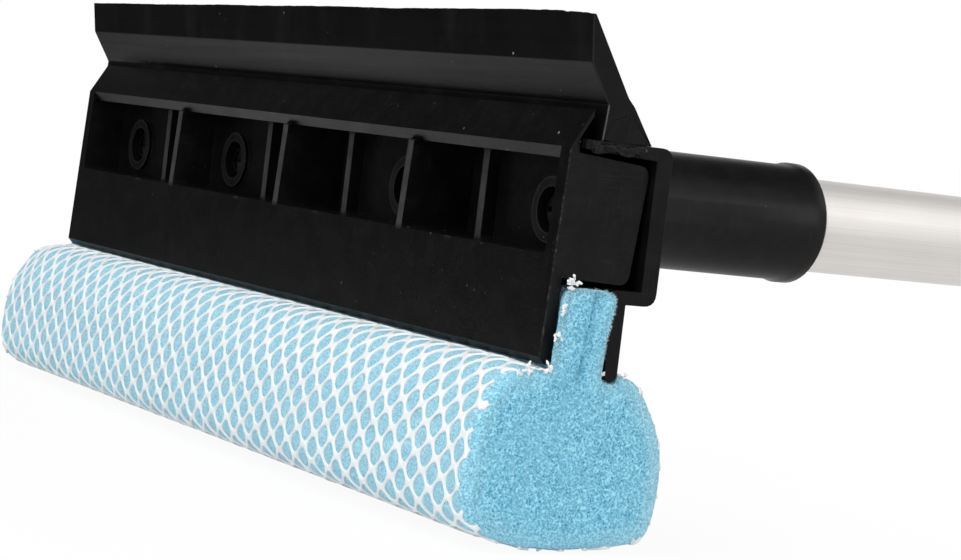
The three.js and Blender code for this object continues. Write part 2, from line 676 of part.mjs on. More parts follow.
// Finishes
const plastic = new THREE.MeshStandardMaterial({ color: 0x17171a, roughness: 0.45, metalness: 0 });
const satinPlastic = new THREE.MeshStandardMaterial({ color: 0x1d1d1f, roughness: 0.55, metalness: 0 });
const rubber = new THREE.MeshStandardMaterial({ color: 0x121214, roughness: 0.6, metalness: 0 });
const foam = new THREE.MeshStandardMaterial({ color: 0x6cc0e6, roughness: 0.95, metalness: 0 });
const netting = new THREE.MeshStandardMaterial({ color: 0xf2f6f8, roughness: 0.7, metalness: 0 });
const aluminium = new THREE.MeshStandardMaterial({ color: 0xd2d0cd, roughness: 0.35, metalness: 1 });
const steel = new THREE.MeshStandardMaterial({ color: 0x9a9a9c, roughness: 0.3, metalness: 1 });

function piece(name, geometry, material) {
  const mesh = new THREE.Mesh(geometry, material);
  mesh.name = name;
  return mesh;
}

const head = new THREE.Group();
head.add(piece("rear_channel", rearChannel(), plastic));
head.add(piece("front_frame", frontFrame(), plastic));
head.add(piece("blade", blade(), rubber));
head.add(piece("sponge", sponge(), foam));
head.add(piece("net", net(), netting));
compartments.forEach(({ screw }, i) => {
  const mesh = piece(`clamp_screw_${i + 1}`, clampScrew(), steel);
  mesh.position.x = screw;
  head.add(mesh);
});
socketScrewPlaces().forEach(([x, z], i) => {
  const mesh = piece(`socket_screw_${i + 1}`, socketScrew(), steel);
  mesh.position.set(x, 0, z);
  head.add(mesh);
});

const handle = new THREE.Group();
handle.add(piece("pole_socket", poleSocket(), satinPlastic));
handle.add(piece("pole", pole(), aluminium));
handle.add(piece("hand_grip", handGrip(), rubber));
handle.add(piece("hang_cap", hangCap(), satinPlastic));

// The origin is the net's middle knot on the flat that the sponge rests on.
const restingKnot = netPath().getSpacedPoints(NET_ROWS)[NET_ROWS / 2];
const squeegee = new THREE.Group();
squeegee.add(head, handle);
head.position.set(0, -restingKnot.x, netGap + NET_WALL - restingKnot.y);
handle.position.copy(head.position);

export default squeegee;
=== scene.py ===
"""Looks of the window squeegee: clamp head, wiping blade, netted sponge, socket, pole and grip."""

import logging
import math
from dataclasses import dataclass, field
from enum import Enum
from typing import Optional, Sequence, Union

import bpy
import numpy as np
from mathutils import Matrix, Vector
from mathutils.geometry import delaunay_2d_cdt, tessellate_polygon


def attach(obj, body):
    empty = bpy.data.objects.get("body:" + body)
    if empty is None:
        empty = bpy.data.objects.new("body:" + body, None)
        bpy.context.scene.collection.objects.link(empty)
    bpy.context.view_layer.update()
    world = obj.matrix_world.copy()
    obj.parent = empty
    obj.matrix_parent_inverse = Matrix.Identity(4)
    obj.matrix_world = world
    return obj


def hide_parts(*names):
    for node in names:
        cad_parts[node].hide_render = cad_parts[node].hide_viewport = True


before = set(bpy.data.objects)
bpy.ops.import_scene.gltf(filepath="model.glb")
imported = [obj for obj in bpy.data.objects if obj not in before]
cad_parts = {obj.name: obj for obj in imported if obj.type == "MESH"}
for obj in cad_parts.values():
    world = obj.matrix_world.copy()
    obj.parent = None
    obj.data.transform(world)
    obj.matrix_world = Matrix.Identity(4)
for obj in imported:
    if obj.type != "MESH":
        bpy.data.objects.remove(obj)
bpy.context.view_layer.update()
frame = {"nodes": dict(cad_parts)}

LOG = logging.getLogger("squeegee")
MM = 0.001
HEAD_ZERO = np.array([0.0, 13.675, 53.4])  # the head's own zero in the part's frame, in millimetres
NEAR_END = 100.0  # the rear channel's end towards +X, in millimetres
FRAME_END = 98.8  # the front frame's end, in millimetres

Socket = bpy.types.NodeSocket
Value = Union[float, Sequence[float], Socket]
Colour = tuple[float, float, float]
Span = tuple[float, float]
# the colour of dust specks, and of the painted highlights mixed in with them
DUST_AND_HIGHLIGHT: Colour = (0.24, 0.24, 0.24)
FALLING: Span = (1.0, 0.0)


class Slot(Enum):
    """Material slot names for the pieces made here; nothing in this script uses them."""

    BLACK_PLASTIC = "black_plastic"
    BLADE_RUBBER = "blade_rubber"
    FOAM = "foam"
    NETTING = "netting"


class Body(Enum):
    """The bodies that the pieces made here ride on."""

    HEAD = "head"
    BLADE = "blade"
    SPONGE = "sponge"


def to_part(points: np.ndarray) -> np.ndarray:
    """Moves points from the head's zero to the part's frame.

    Args:
        points: Rows of X, Y, Z in millimetres from the head's zero.

    Returns:
        The same points in metres in the part's frame.
    """
    return (np.asarray(points, float) + HEAD_ZERO) * MM


def smooth_step(low: float, high: float, value: np.ndarray) -> np.ndarray:
    """Rises smoothly from 0 at low to 1 at high.

    Args:
        low: Where the rise starts.
        high: Where it ends.
        value: The places to look at.

    Returns:
        A share from 0 to 1 for each place.
    """
    share = np.clip((np.asarray(value, float) - low) / (high - low), 0.0, 1.0)
    return share * share * (3.0 - 2.0 * share)


class SmoothNoise:
    """Seeded noise between -1 and 1 that is smooth in three directions."""

    def __init__(self, seed: int, size: int = 48) -> None:
        """Draws the lattice of values that the noise runs through."""
        self.size = size
        self.lattice = np.random.default_rng(seed).random((size, size, size)) * 2.0 - 1.0

    def at(self, points: np.ndarray, pitch: float) -> np.ndarray:
        """Reads the noise.

        Args:
            points: Rows of three coordinates.
            pitch: The size of one lattice step, in the same unit.

        Returns:
            One value per row.
        """
        scaled = np.asarray(points, float) / pitch
        base = np.floor(scaled).astype(int)
        part = scaled - base
        part = part * part * (3.0 - 2.0 * part)
        total = np.zeros(len(scaled))
        for corner in range(8):
            step = np.array([corner & 1, (corner >> 1) & 1, (corner >> 2) & 1])
            weight = np.prod(np.where(step, part, 1.0 - part), axis=1)
            x, y, z = ((base + step) % self.size).T
            total += weight * self.lattice[x, y, z]
        return total


def make_piece(name: str, points: np.ndarray, faces: list, smooth: bool = True) -> bpy.types.Object:
    """Makes a mesh object from points in the head's millimetres.

    Args:
        name: The piece's name.
        points: Rows of X, Y, Z from the head's zero.
        faces: Lists of point numbers.
        smooth: Whether the faces are shaded smoothly.

    Returns:
        The new object, linked to the scene.
    """
    mesh = bpy.data.meshes.new(name)
    mesh.from_pydata(to_part(points).tolist(), [], faces)
    mesh.validate()
    mesh.polygons.foreach_set("use_smooth", np.full(len(mesh.polygons), smooth))
    mesh.update()
    piece = bpy.data.objects.new(name, mesh)
    bpy.context.scene.collection.objects.link(piece)
    return piece


def add_share(piece: bpy.types.Object, name: str, values: np.ndarray) -> None:
    """Stores one number per point for the piece's finish to read.

    Args:
        piece: The mesh object.
        name: The attribute's name.
        values: One number per point.
    """
    attribute = piece.data.attributes.new(name, "FLOAT", "POINT")
    attribute.data.foreach_set("value", np.asarray(values, np.float32))


def dress(piece: bpy.types.Object, material: bpy.types.Material) -> None:
    """Gives a piece one finish all over.

    Args:
        piece: The object to dress.
        material: Its finish.
    """
    if piece.material_slots:
        piece.material_slots[0].material = material
    else:
        piece.data.materials.append(material)
    LOG.info("%s dressed in %s", piece.name, material.name)


def through_points(keys: np.ndarray, per_span: int, closed: bool) -> np.ndarray:
    """Runs a smooth curve through key points.

    Args:
        keys: Rows of coordinates that the curve passes.
        per_span: Points on each stretch between two keys.
        closed: Whether the curve comes back to its start.

    Returns:
        The curve's points, in order.
    """
    count = len(keys)
    spans = count if closed else count - 1
    share = np.linspace(0.0, 1.0, per_span, endpoint=False)[:, None]
    rows = []
    for i in range(spans):
        if closed:
            a, b, c, d = (keys[(i + k) % count] for k in (-1, 0, 1, 2))
        else:
            a, b, c, d = (keys[min(max(i + k, 0), count - 1)] for k in (-1, 0, 1, 2))
        rows.append(
            0.5
            * (
                2.0 * b
                + (c - a) * share
                + (2.0 * a - 5.0 * b + 4.0 * c - d) * share**2
                + (3.0 * b - a - 3.0 * c + d) * share**3
            )
        )
    if not closed:
        rows.append(keys[-1:])
    return np.concatenate(rows)


def tube_faces(rings: int, count: int) -> list[list[int]]:
    """Joins rings of points into a tube.

    Args:
        rings: How many rings follow one another.
        count: Points in each ring.

    Returns:
        Four point numbers per face.
    """
    faces = []
    for i in range(rings - 1):
        for j in range(count):
            k = (j + 1) % count
            faces.append([i * count + j, i * count + k, (i + 1) * count + k, (i + 1) * count + j])
    return faces


def outwards(outline: np.ndarray) -> np.ndarray:
    """Gives the outward direction at each point of a closed outline that runs anticlockwise.

    Args:
        outline: Rows of Y, Z.

    Returns:
        One unit direction per row.
    """
    run = np.roll(outline, -1, axis=0) - np.roll(outline, 1, axis=0)
    run /= np.linalg.norm(run, axis=1)[:, None]
    return np.column_stack([run[:, 1], -run[:, 0]])


def rounded_outline(corners: Sequence[tuple[float, float, float]], steps: int = 4) -> np.ndarray:
    """Rounds the corners of a closed outline, with a point close to each end of a rounding.

    Args:
        corners: Rows of Y, Z and radius.
        steps: Stretches in each rounding.

    Returns:
        The outline's points, in order.
    """
    rows = []
    count = len(corners)
    for i, (y, z, radius) in enumerate(corners):
        here = np.array([y, z])
        before = np.array(corners[i - 1][:2]) - here
        after = np.array(corners[(i + 1) % count][:2]) - here
        if radius <= 0.0:
            rows.append(here)
            continue
        inset = min(radius, np.linalg.norm(before) * 0.4, np.linalg.norm(after) * 0.4)
        start = here + before / np.linalg.norm(before) * inset
        end = here + after / np.linalg.norm(after) * inset
        rows.append(start + (start - here) * 0.12)
        for share in np.linspace(0.0, 1.0, steps + 1):
            rows.append((1 - share) ** 2 * start + 2 * share * (1 - share) * here + share**2 * end)
        rows.append(end + (end - here) * 0.12)
    return np.array(rows)


class NodeGraph:
    """A material's nodes, put together by short calls."""

    def __init__(self, name: str) -> None:
        """Starts a material that holds nothing but its output.

        Args:
            name: The material's name.
        """
        self.material = bpy.data.materials.new(name)
        self.material.use_nodes = True
        self.tree = self.material.node_tree
        self.tree.nodes.clear()
        self.output = self.tree.nodes.new("ShaderNodeOutputMaterial")

    def put(self, socket: Socket, value: Value) -> None:
        """Links a socket or sets its number.

        Args:
            socket: The input to fill.
            value: Another node's output, a number or several.
        """
        if isinstance(value, bpy.types.NodeSocket):
            self.tree.links.new(value, socket)
        elif socket.type == "RGBA" and len(value) == 3:
            socket.default_value = (*value, 1.0)
        else:
            socket.default_value = value

    def add(self, kind: str, inputs: dict, out: Union[int, str] = 0, **settings: object) -> Socket:
        """Adds a node.

        Args:
            kind: The node's type.
            inputs: Its inputs by name or number.
            out: The output to hand back.
            settings: The node's own options.

        Returns:
            The chosen output.
        """
        node = self.tree.nodes.new(kind)
        for key, value in settings.items():
            setattr(node, key, value)
        for key, value in inputs.items():
            self.put(node.inputs[key], value)
        return node.outputs[out]

    def place(self) -> Socket:
        """Gives the place on the piece, in metres of the part's frame."""
        return self.add("ShaderNodeTexCoord", {}, "Object")

    def stretched(self, place: Socket, factors: Sequence[float]) -> Socket:
        """Stretches a place by a factor in each direction."""
        return self.add("ShaderNodeVectorMath", {0: place, 1: factors}, operation="MULTIPLY")

    def noise(self, place: Socket, scale: float, detail: float = 3.0, rough: float = 0.55) -> Socket:
        """Gives soft noise from about 0.3 to 0.7.

        Args:
            place: Where to read it.
            scale: Waves per unit of the place.
            detail: Layers of finer waves.
            rough: How strong the finer waves are.

        Returns:
            The noise.
        """
        return self.add(
            "ShaderNodeTexNoise",
            {"Vector": place, "Scale": scale, "Detail": detail, "Roughness": rough},
        )

    def cells(self, place: Socket, scale: float, out: str = "Distance") -> Socket:
        """Gives the distance to, or the colour of, the nearest of many scattered points."""
        return self.add("ShaderNodeTexVoronoi", {"Vector": place, "Scale": scale}, out)

    def span(self, value: Socket, low: float, high: float, to: Span = (0.0, 1.0)) -> Socket:
        """Maps a stretch of values to another, and holds the ends.

        Args:
            value: What to map.
            low: Where the stretch starts.
            high: Where it ends.
            to: What its two ends become.

        Returns:
            The mapped value.
        """
        return self.add(
            "ShaderNodeMapRange",
            {"Value": value, "From Min": low, "From Max": high, "To Min": to[0], "To Max": to[1]},
        )

    def arithmetic(self, operation: str, first: Value, second: Value = 0.0) -> Socket:
        """Works out one number from two."""
        return self.add("ShaderNodeMath", {0: first, 1: second}, operation=operation)

    def times(self, first: Value, second: Value) -> Socket:
        """Multiplies two numbers."""
        return self.arithmetic("MULTIPLY", first, second)

    def plus(self, first: Value, second: Value) -> Socket:
        """Adds two numbers."""
        return self.arithmetic("ADD", first, second)

    def minus(self, first: Value, second: Value) -> Socket:
        """Takes the second number from the first."""
        return self.arithmetic("SUBTRACT", first, second)

    def most(self, first: Value, second: Value) -> Socket:
        """Takes the larger of two numbers."""
        return self.arithmetic("MAXIMUM", first, second)

    def least(self, first: Value, second: Value) -> Socket:
        """Takes the smaller of two numbers."""
        return self.arithmetic("MINIMUM", first, second)

    def unsigned(self, value: Value) -> Socket:
        """Drops a number's sign."""
        return self.arithmetic("ABSOLUTE", value)

    def facing(self) -> Socket:
        """Gives the direction that the surface faces."""
        return self.add("ShaderNodeNewGeometry", {}, "Normal")

    def axis(self, place: Socket, name: str) -> Socket:
        """Takes one coordinate of a place."""
        return self.add("ShaderNodeSeparateXYZ", {0: place}, name)

    def share(self, name: str) -> Socket:
        """Reads a number that the mesh stores at its points."""
        return self.add("ShaderNodeAttribute", {}, "Fac", attribute_name=name)

    def tint(self, factor: Value, first: Value, second: Value) -> Socket:
        """Mixes two colours.

        Args:
            factor: The second colour's share.
            first: The colour where the share is 0.
            second: The colour where it is 1.

        Returns:
            The mixed colour.
        """
        node = self.tree.nodes.new("ShaderNodeMix")
        node.data_type = "RGBA"
        self.put(node.inputs[0], factor)
        self.put(node.inputs[6], first)
        self.put(node.inputs[7], second)
        return node.outputs[2]

    def relief(self, height: Socket, depth: float, strength: float = 1.0, under: Socket = None) -> Socket:
        """Turns a height from 0 to 1 into relief.

        Args:
            height: The height.
            depth: What a height of 1 stands for, in metres.
            strength: The relief's share.
            under: A relief that this one lies on.

        Returns:
            The bent direction of the surface.
        """
        inputs = {"Height": height, "Distance": depth, "Strength": strength}
        if under is not None:
            inputs["Normal"] = under
        return self.add("ShaderNodeBump", inputs)

    def surface(self, **inputs: Value) -> bpy.types.Material:
        """Ends the graph in one surface.

        Args:
            inputs: The surface's inputs, with _ for a blank in a name.

        Returns:
            The finished material.
        """
        node = self.tree.nodes.new("ShaderNodeBsdfPrincipled")
        for key, value in inputs.items():
            self.put(node.inputs[key.replace("_", " ")], value)
        self.tree.links.new(node.outputs[0], self.output.inputs[0])
        return self.material


@dataclass(frozen=True)
class FrameBays:
    """Where the front frame's ribs, rings and leaning front lie, in metres."""

    pitch: float = 0.0485  # from rib to rib along the head
    inner_rib: float = 0.017  # from a rib to the recessed one beside it
    screw: float = 0.0357  # from a rib to the screw's ring
    ring: float = 0.0046  # the ring's middle radius
    axis_height: float = 0.0534  # of the screws
    last_rib: Span = (0.088, 0.089)  # past this there is only the end wall
    rib_foot: Span = (0.0462, 0.0474)  # heights over which the painted highlights on the ribs' fronts set in
    rib_top: Span = (0.0614, 0.0624)  # and over which they end
    front_heights: Span = (0.0296, 0.0638)  # of the leaning front
    front_places: Span = (-0.006325, -0.005025)  # its Y at these heights


@dataclass(frozen=True)
class MouldedPlastic:
    """Black moulded plastic with fine grain, faint flow marks, dust and scuffs; on the frame also painted
    highlights on its ribs, screw rings and near end's front edge.
    """

    name: str
    dark: Colour
    light: Colour
    roughness: Span
    gloss: float
    grain: float  # grains per metre
    grain_depth: float
    dust: float  # the share of dust cells that get a fleck
    bays: Optional[FrameBays] = None  # where the frame gets its painted highlights
    scuff: Colour = (0.03, 0.03, 0.031)
    smear: Colour = (0.011, 0.0106, 0.0109)
    saw_mark: Colour = (0.0125, 0.0122, 0.0124)
    # painted highlight on the fronts of the ribs and of the rings round the screws
    rib_highlight: Colour = (0.050, 0.048, 0.049)

    def edge_wear_and_highlight(self, graph: NodeGraph, place: Socket) -> Socket:
        """Gives a share that is high along the front edge of the head's near end, for wear and a painted
        highlight.

        Args:
            graph: The material's nodes.
            place: The place on the piece.

        Returns:
            A share from 0 to 1.
        """
        along = graph.axis(place, "X")
        height = graph.axis(place, "Z")
        front = graph.span(height, *self.bays.front_heights, self.bays.front_places)
        away = graph.unsigned(graph.minus(graph.axis(place, "Y"), front))
        in_from_end = graph.unsigned(graph.minus(along, FRAME_END * MM))
        near = graph.span(graph.plus(away, in_from_end), 0.00012, 0.00034, FALLING)
        patches = graph.span(graph.noise(place, 1300.0, 5.0, 0.8), 0.5, 0.72, (0.02, 0.8))
        return graph.times(near, patches)

    def rib_highlights(self, graph: NodeGraph, place: Socket) -> Socket:
        """Gives the share of a painted highlight, high on the fronts of the ribs and of the rings round the
        screws.

        Args:
            graph: The material's nodes.
            place: The place on the piece.

        Returns:
            A share from 0 to 1.
        """
        bays = self.bays
        forwards = graph.span(graph.axis(graph.facing(), "Y"), -0.97, -0.85, FALLING)
        along = graph.unsigned(graph.axis(place, "X"))
        height = graph.axis(place, "Z")
        bay = graph.arithmetic("MODULO", along, bays.pitch)
        to_wall = graph.least(bay, graph.minus(bays.pitch, bay))
        to_inner = graph.unsigned(graph.minus(bay, bays.inner_rib))
        rib = graph.span(graph.least(to_wall, to_inner), 0.0008, 0.0011, FALLING)
        rib = graph.times(rib, graph.span(along, *bays.last_rib, FALLING))
        rib = graph.times(rib, graph.span(height, *bays.rib_foot))
        rib = graph.times(rib, graph.span(height, *bays.rib_top, FALLING))
        aside = graph.minus(bay, bays.screw)
        up = graph.minus(height, bays.axis_height)
        squares = graph.plus(graph.times(aside, aside), graph.times(up, up))
        from_axis = graph.arithmetic("POWER", squares, 0.5)
        from_middle = graph.unsigned(graph.minus(from_axis, bays.ring))
        ring = graph.span(from_middle, 0.0005, 0.0008, (0.16, 0.6))
        ring = graph.times(ring, graph.span(from_middle, 0.0009, 0.0011, FALLING))
        patches = graph.span(graph.noise(place, 420.0, 4.0, 0.65), 0.3, 0.6, (0.6, 1.0))
        # painted highlight where the ribs and rings face forwards
        highlight_share = graph.times(graph.most(rib, ring), patches)
        return graph.times(highlight_share, forwards)

    def specks(self, graph: NodeGraph, place: Socket, pitch: float, share: float) -> Socket:
        """Scatters specks of dust.

        Args:
            graph: The material's nodes.
            place: The place on the piece.
            pitch: Cells per metre.
            share: The share of cells that get a fleck of dust.

        Returns:
            A share from 0 to 1.
        """
        lot = graph.axis(graph.cells(place, pitch, "Color"), "X")
        chosen = graph.span(lot, 0.0, share, FALLING)
        clusters = graph.span(graph.noise(place, 55.0, 3.0, 0.6), 0.42, 0.62, (0.12, 1.0))
        dust_and_highlight = graph.times(graph.span(graph.cells(place, pitch), 0.05, 0.12, FALLING), chosen)
        towards_end = graph.span(graph.axis(place, "X"), 0.0, 0.08, (0.35, 1.0))
        return graph.times(dust_and_highlight, graph.times(clusters, towards_end))

    def sawn(self, graph: NodeGraph, place: Socket) -> Socket:
        """Gives a share that is high in the saw marks on faces that look along the head.

        Args:
            graph: The material's nodes.
            place: The place on the piece.

        Returns:
            A share from 0 to 1.
        """
        ends = graph.span(graph.unsigned(graph.axis(graph.facing(), "X")), 0.9, 0.99)
        upright = graph.noise(graph.stretched(place, (90.0, 2600.0, 160.0)), 1.0, 3.0, 0.7)
        level = graph.noise(graph.stretched(place, (90.0, 160.0, 3000.0)), 1.0, 3.0, 0.7)
        marks = graph.most(graph.span(upright, 0.52, 0.72), graph.span(level, 0.54, 0.74))
        patches = graph.span(graph.noise(place, 130.0, 3.0), 0.36, 0.62)
        return graph.times(ends, graph.times(marks, patches))

    def make(self) -> bpy.types.Material:
        """Builds the finish.

        Returns:
            The new material.
        """
        graph = NodeGraph(self.name)
        place = graph.place()
        flow = graph.noise(graph.stretched(place, (18.0, 60.0, 60.0)), 1.0, 4.0, 0.6)
        grain = graph.noise(place, self.grain, 2.0, 0.6)
        colour = graph.tint(graph.span(flow, 0.35, 0.7), self.dark, self.light)
        scuff_lines = graph.noise(graph.stretched(place, (90.0, 900.0, 2600.0)), 1.0, 3.0, 0.7)
        scuffs = graph.span(scuff_lines, 0.66, 0.78)
        colour = graph.tint(graph.times(scuffs, 0.3), colour, self.scuff)
        smears = graph.span(graph.noise(place, 260.0, 5.0, 0.7), 0.46, 0.7, (0.0, 0.45))
        colour = graph.tint(smears, colour, self.smear)
        colour = graph.tint(self.sawn(graph, place), colour, self.saw_mark)
        if self.bays:
            # painted highlights on the rib fronts and screw rings
            colour = graph.tint(self.rib_highlights(graph, place), colour, self.rib_highlight)
        dust_and_highlight = self.specks(graph, place, 420.0, self.dust)
        dust_and_highlight = graph.most(dust_and_highlight, self.specks(graph, place, 900.0, self.dust * 0.8))
        if self.bays:
            # wear and a painted highlight along the near end's front edge, in the dust colour
            dust_and_highlight = graph.most(dust_and_highlight, graph.times(self.edge_wear_and_highlight(graph, place), 0.5))
        colour = graph.tint(dust_and_highlight, colour, DUST_AND_HIGHLIGHT)
        rough = graph.span(graph.noise(place, 160.0, 4.0, 0.65), 0.3, 0.7, self.roughness)
        relief = graph.relief(grain, self.grain_depth, 0.6)
        relief = graph.relief(flow, 0.00012, 0.35, relief)
        return graph.surface(
            Base_Color=colour, Roughness=rough, Specular_IOR_Level=self.gloss, Normal=relief
        )


@dataclass(frozen=True)
class WipingRubber:
    """Black rubber of the blade, with drawn streaks along it, a faint bloom and a painted highlight on its
    near end's front edge.
    """

    name: str
    dark: Colour
    bloom: Colour
    gloss: float
    smear: Colour = (0.0125, 0.0122, 0.0125)
    dust_pitch: float = 380.0  # cells per metre
    dust: float = 0.12  # the share of cells that get a fleck of dust

    def make(self) -> bpy.types.Material:
        """Builds the finish.

        Returns:
            The new material.
        """
        graph = NodeGraph(self.name)
        place = graph.place()
        streaks = graph.noise(graph.stretched(place, (14.0, 700.0, 700.0)), 1.0, 4.0, 0.6)
        patches = graph.noise(place, 90.0, 4.0, 0.6)
        colour = graph.tint(graph.span(patches, 0.4, 0.75), self.dark, self.bloom)
        wiped = graph.noise(graph.stretched(place, (75.0, 26.0, 26.0)), 1.0, 4.0, 0.6)
        colour = graph.tint(graph.span(wiped, 0.52, 0.72, (0.0, 0.6)), colour, self.smear)
        near_dust = graph.cells(place, self.dust_pitch)
        lot = graph.axis(graph.cells(place, self.dust_pitch, "Color"), "X")
        dust_and_highlight = graph.span(near_dust, 0.05, 0.11, FALLING)
        dust_and_highlight = graph.times(dust_and_highlight, graph.span(lot, 0.0, self.dust, FALLING))
        # painted highlight on the near end's front edge, in the dust colour
        highlight_share = graph.span(graph.noise(place, 1400.0, 4.0, 0.7), 0.3, 0.6, (0.35, 1.0))
        dust_and_highlight = graph.most(dust_and_highlight, graph.times(graph.share("highlight_share"), highlight_share))
        colour = graph.tint(dust_and_highlight, colour, DUST_AND_HIGHLIGHT)
        rough = graph.span(streaks, 0.3, 0.7, (0.30, 0.40))
        relief = graph.relief(streaks, 0.00006, 0.5)
        relief = graph.relief(graph.noise(place, 2600.0, 2.0), 0.00004, 0.5, relief)
        return graph.surface(
            Base_Color=colour, Roughness=rough, Specular_IOR_Level=self.gloss, Normal=relief
        )


@dataclass(frozen=True)
class GripRubber:
    """Soft black grip with a fine pebbled skin."""

    name: str
    dark: Colour
    light: Colour

    def make(self) -> bpy.types.Material:
        """Builds the finish.

        Returns:
            The new material.
        """
        graph = NodeGraph(self.name)
        place = graph.place()
        pebble = graph.cells(place, 1100.0)
        wear = graph.noise(place, 45.0, 5.0, 0.65)
        colour = graph.tint(graph.span(wear, 0.4, 0.7), self.dark, self.light)
        rough = graph.span(wear, 0.3, 0.7, (0.55, 0.75))
        relief = graph.relief(pebble, 0.00018, 0.6)
        return graph.surface(Base_Color=colour, Roughness=rough, Specular_IOR_Level=0.25, Normal=relief)


@dataclass(frozen=True)
class SpongeFoam:
    """Light blue open foam: painted shade in its pores, paler thin rim, light that soaks in a little."""

    name: str
    body: Colour
    # the colour of the painted shade in the pores
    pore_shade: Colour
    rim: Colour
    cell_pitch: float = 2750.0  # cells per metre
    cell_bend: float = 0.0003  # how far the cells stray, in metres

    def make(self) -> bpy.types.Material:
        """Builds the finish.

        Returns:
            The new material.
        """
        graph = NodeGraph(self.name)
        place = graph.place()
        bent = graph.add("ShaderNodeTexNoise", {"Vector": place, "Scale": 1500.0, "Detail": 1.0}, "Color")
        bent = graph.stretched(bent, (self.cell_bend, self.cell_bend, self.cell_bend))
        bent = graph.add("ShaderNodeVectorMath", {0: place, 1: bent}, operation="ADD")
        grit = graph.noise(place, 2350.0, 2.0, 0.6)
        fine = graph.plus(graph.cells(bent, self.cell_pitch), graph.span(grit, 0.3, 0.7, (-0.22, 0.22)))
        lot = graph.axis(graph.cells(bent, self.cell_pitch, "Color"), "X")
        clouds = graph.noise(place, 260.0, 4.0, 0.6)
        # painted shade in the pores: darker at the cells' middles and in the cut face's pits and slit
        cell_shade = graph.span(fine, 0.34, 0.68, FALLING)
        cell_shade = graph.times(cell_shade, graph.span(lot, 0.0, 0.9, (0.3, 1.0)))
        depth = graph.most(graph.times(graph.share("pit"), 0.9), cell_shade)
        depth = graph.times(depth, graph.span(clouds, 0.3, 0.62, (0.7, 1.0)))
        pale = graph.times(graph.share("rim"), graph.span(clouds, 0.3, 0.65, (0.75, 1.0)))
        struts = graph.times(graph.span(fine, 0.62, 0.86), 0.4)
        colour = graph.tint(graph.most(pale, struts), self.body, self.rim)
        shadow = graph.tint(pale, self.pore_shade, graph.tint(0.45, self.rim, self.body))
        colour = graph.tint(depth, colour, shadow)
        relief = graph.relief(graph.span(fine, 0.25, 0.7), 0.00022, 0.85)
        return graph.surface(
            Base_Color=colour,
            Roughness=0.95,
            Specular_IOR_Level=0.1,
            Normal=relief,
            Subsurface_Weight=0.25,
            Subsurface_Radius=(0.5, 0.9, 1.0),
            Subsurface_Scale=0.0012,
            Sheen_Weight=0.15,
            Sheen_Roughness=0.6,
        )


@dataclass(frozen=True)
class NetThread:
    """White knitted net, a little see-through, with fine threads."""

    name: str
    white: Colour
    shade: Colour

    def make(self) -> bpy.types.Material:
        """Builds the finish.

        Returns:
            The new material.
        """
        graph = NodeGraph(self.name)
        place = graph.place()
        threads = graph.noise(graph.stretched(place, (2200.0, 5200.0, 5200.0)), 1.0, 2.0)
        clouds = graph.noise(place, 320.0, 3.0)
        colour = graph.tint(graph.span(clouds, 0.35, 0.7), self.white, self.shade)
        relief = graph.relief(threads, 0.00012, 0.6)
        return graph.surface(
            Base_Color=colour,
            Roughness=0.62,
            Specular_IOR_Level=0.3,
            Normal=relief,
            Subsurface_Weight=0.2,
            Subsurface_Radius=(1.0, 1.0, 1.0),
            Subsurface_Scale=0.0008,
        )


@dataclass(frozen=True)
class DrawnAluminium:
    """Satin aluminium tube with fine lines along it."""

    name: str
    light: Colour
    dark: Colour

    def make(self) -> bpy.types.Material:
        """Builds the finish.

        Returns:
            The new material.
        """
        graph = NodeGraph(self.name)
        place = graph.place()
        lines = graph.noise(graph.stretched(place, (3200.0, 12.0, 3200.0)), 1.0, 3.0, 0.6)
        patches = graph.noise(place, 70.0, 4.0)
        colour = graph.tint(graph.span(lines, 0.3, 0.75), self.light, self.dark)
        rough = graph.span(patches, 0.3, 0.7, (0.50, 0.57))
        relief = graph.relief(lines, 0.00002, 0.25)
        return graph.surface(
            Base_Color=colour, Metallic=1.0, Roughness=rough, Anisotropic=0.35, Normal=relief
        )


@dataclass(frozen=True)
class ScrewSteel:
    """Zinc-plated screw with turned rings and a dull film."""

    name: str
    light: Colour
    dark: Colour

    def make(self) -> bpy.types.Material:
        """Builds the finish.

        Returns:
            The new material.
        """
        graph = NodeGraph(self.name)
        place = graph.place()
        film = graph.noise(place, 700.0, 4.0, 0.65)
        colour = graph.tint(graph.span(film, 0.35, 0.7), self.light, self.dark)
        rough = graph.span(film, 0.3, 0.7, (0.28, 0.5))
        relief = graph.relief(graph.noise(place, 3200.0, 2.0), 0.00003, 0.5)
        return graph.surface(Base_Color=colour, Metallic=1.0, Roughness=rough, Normal=relief)


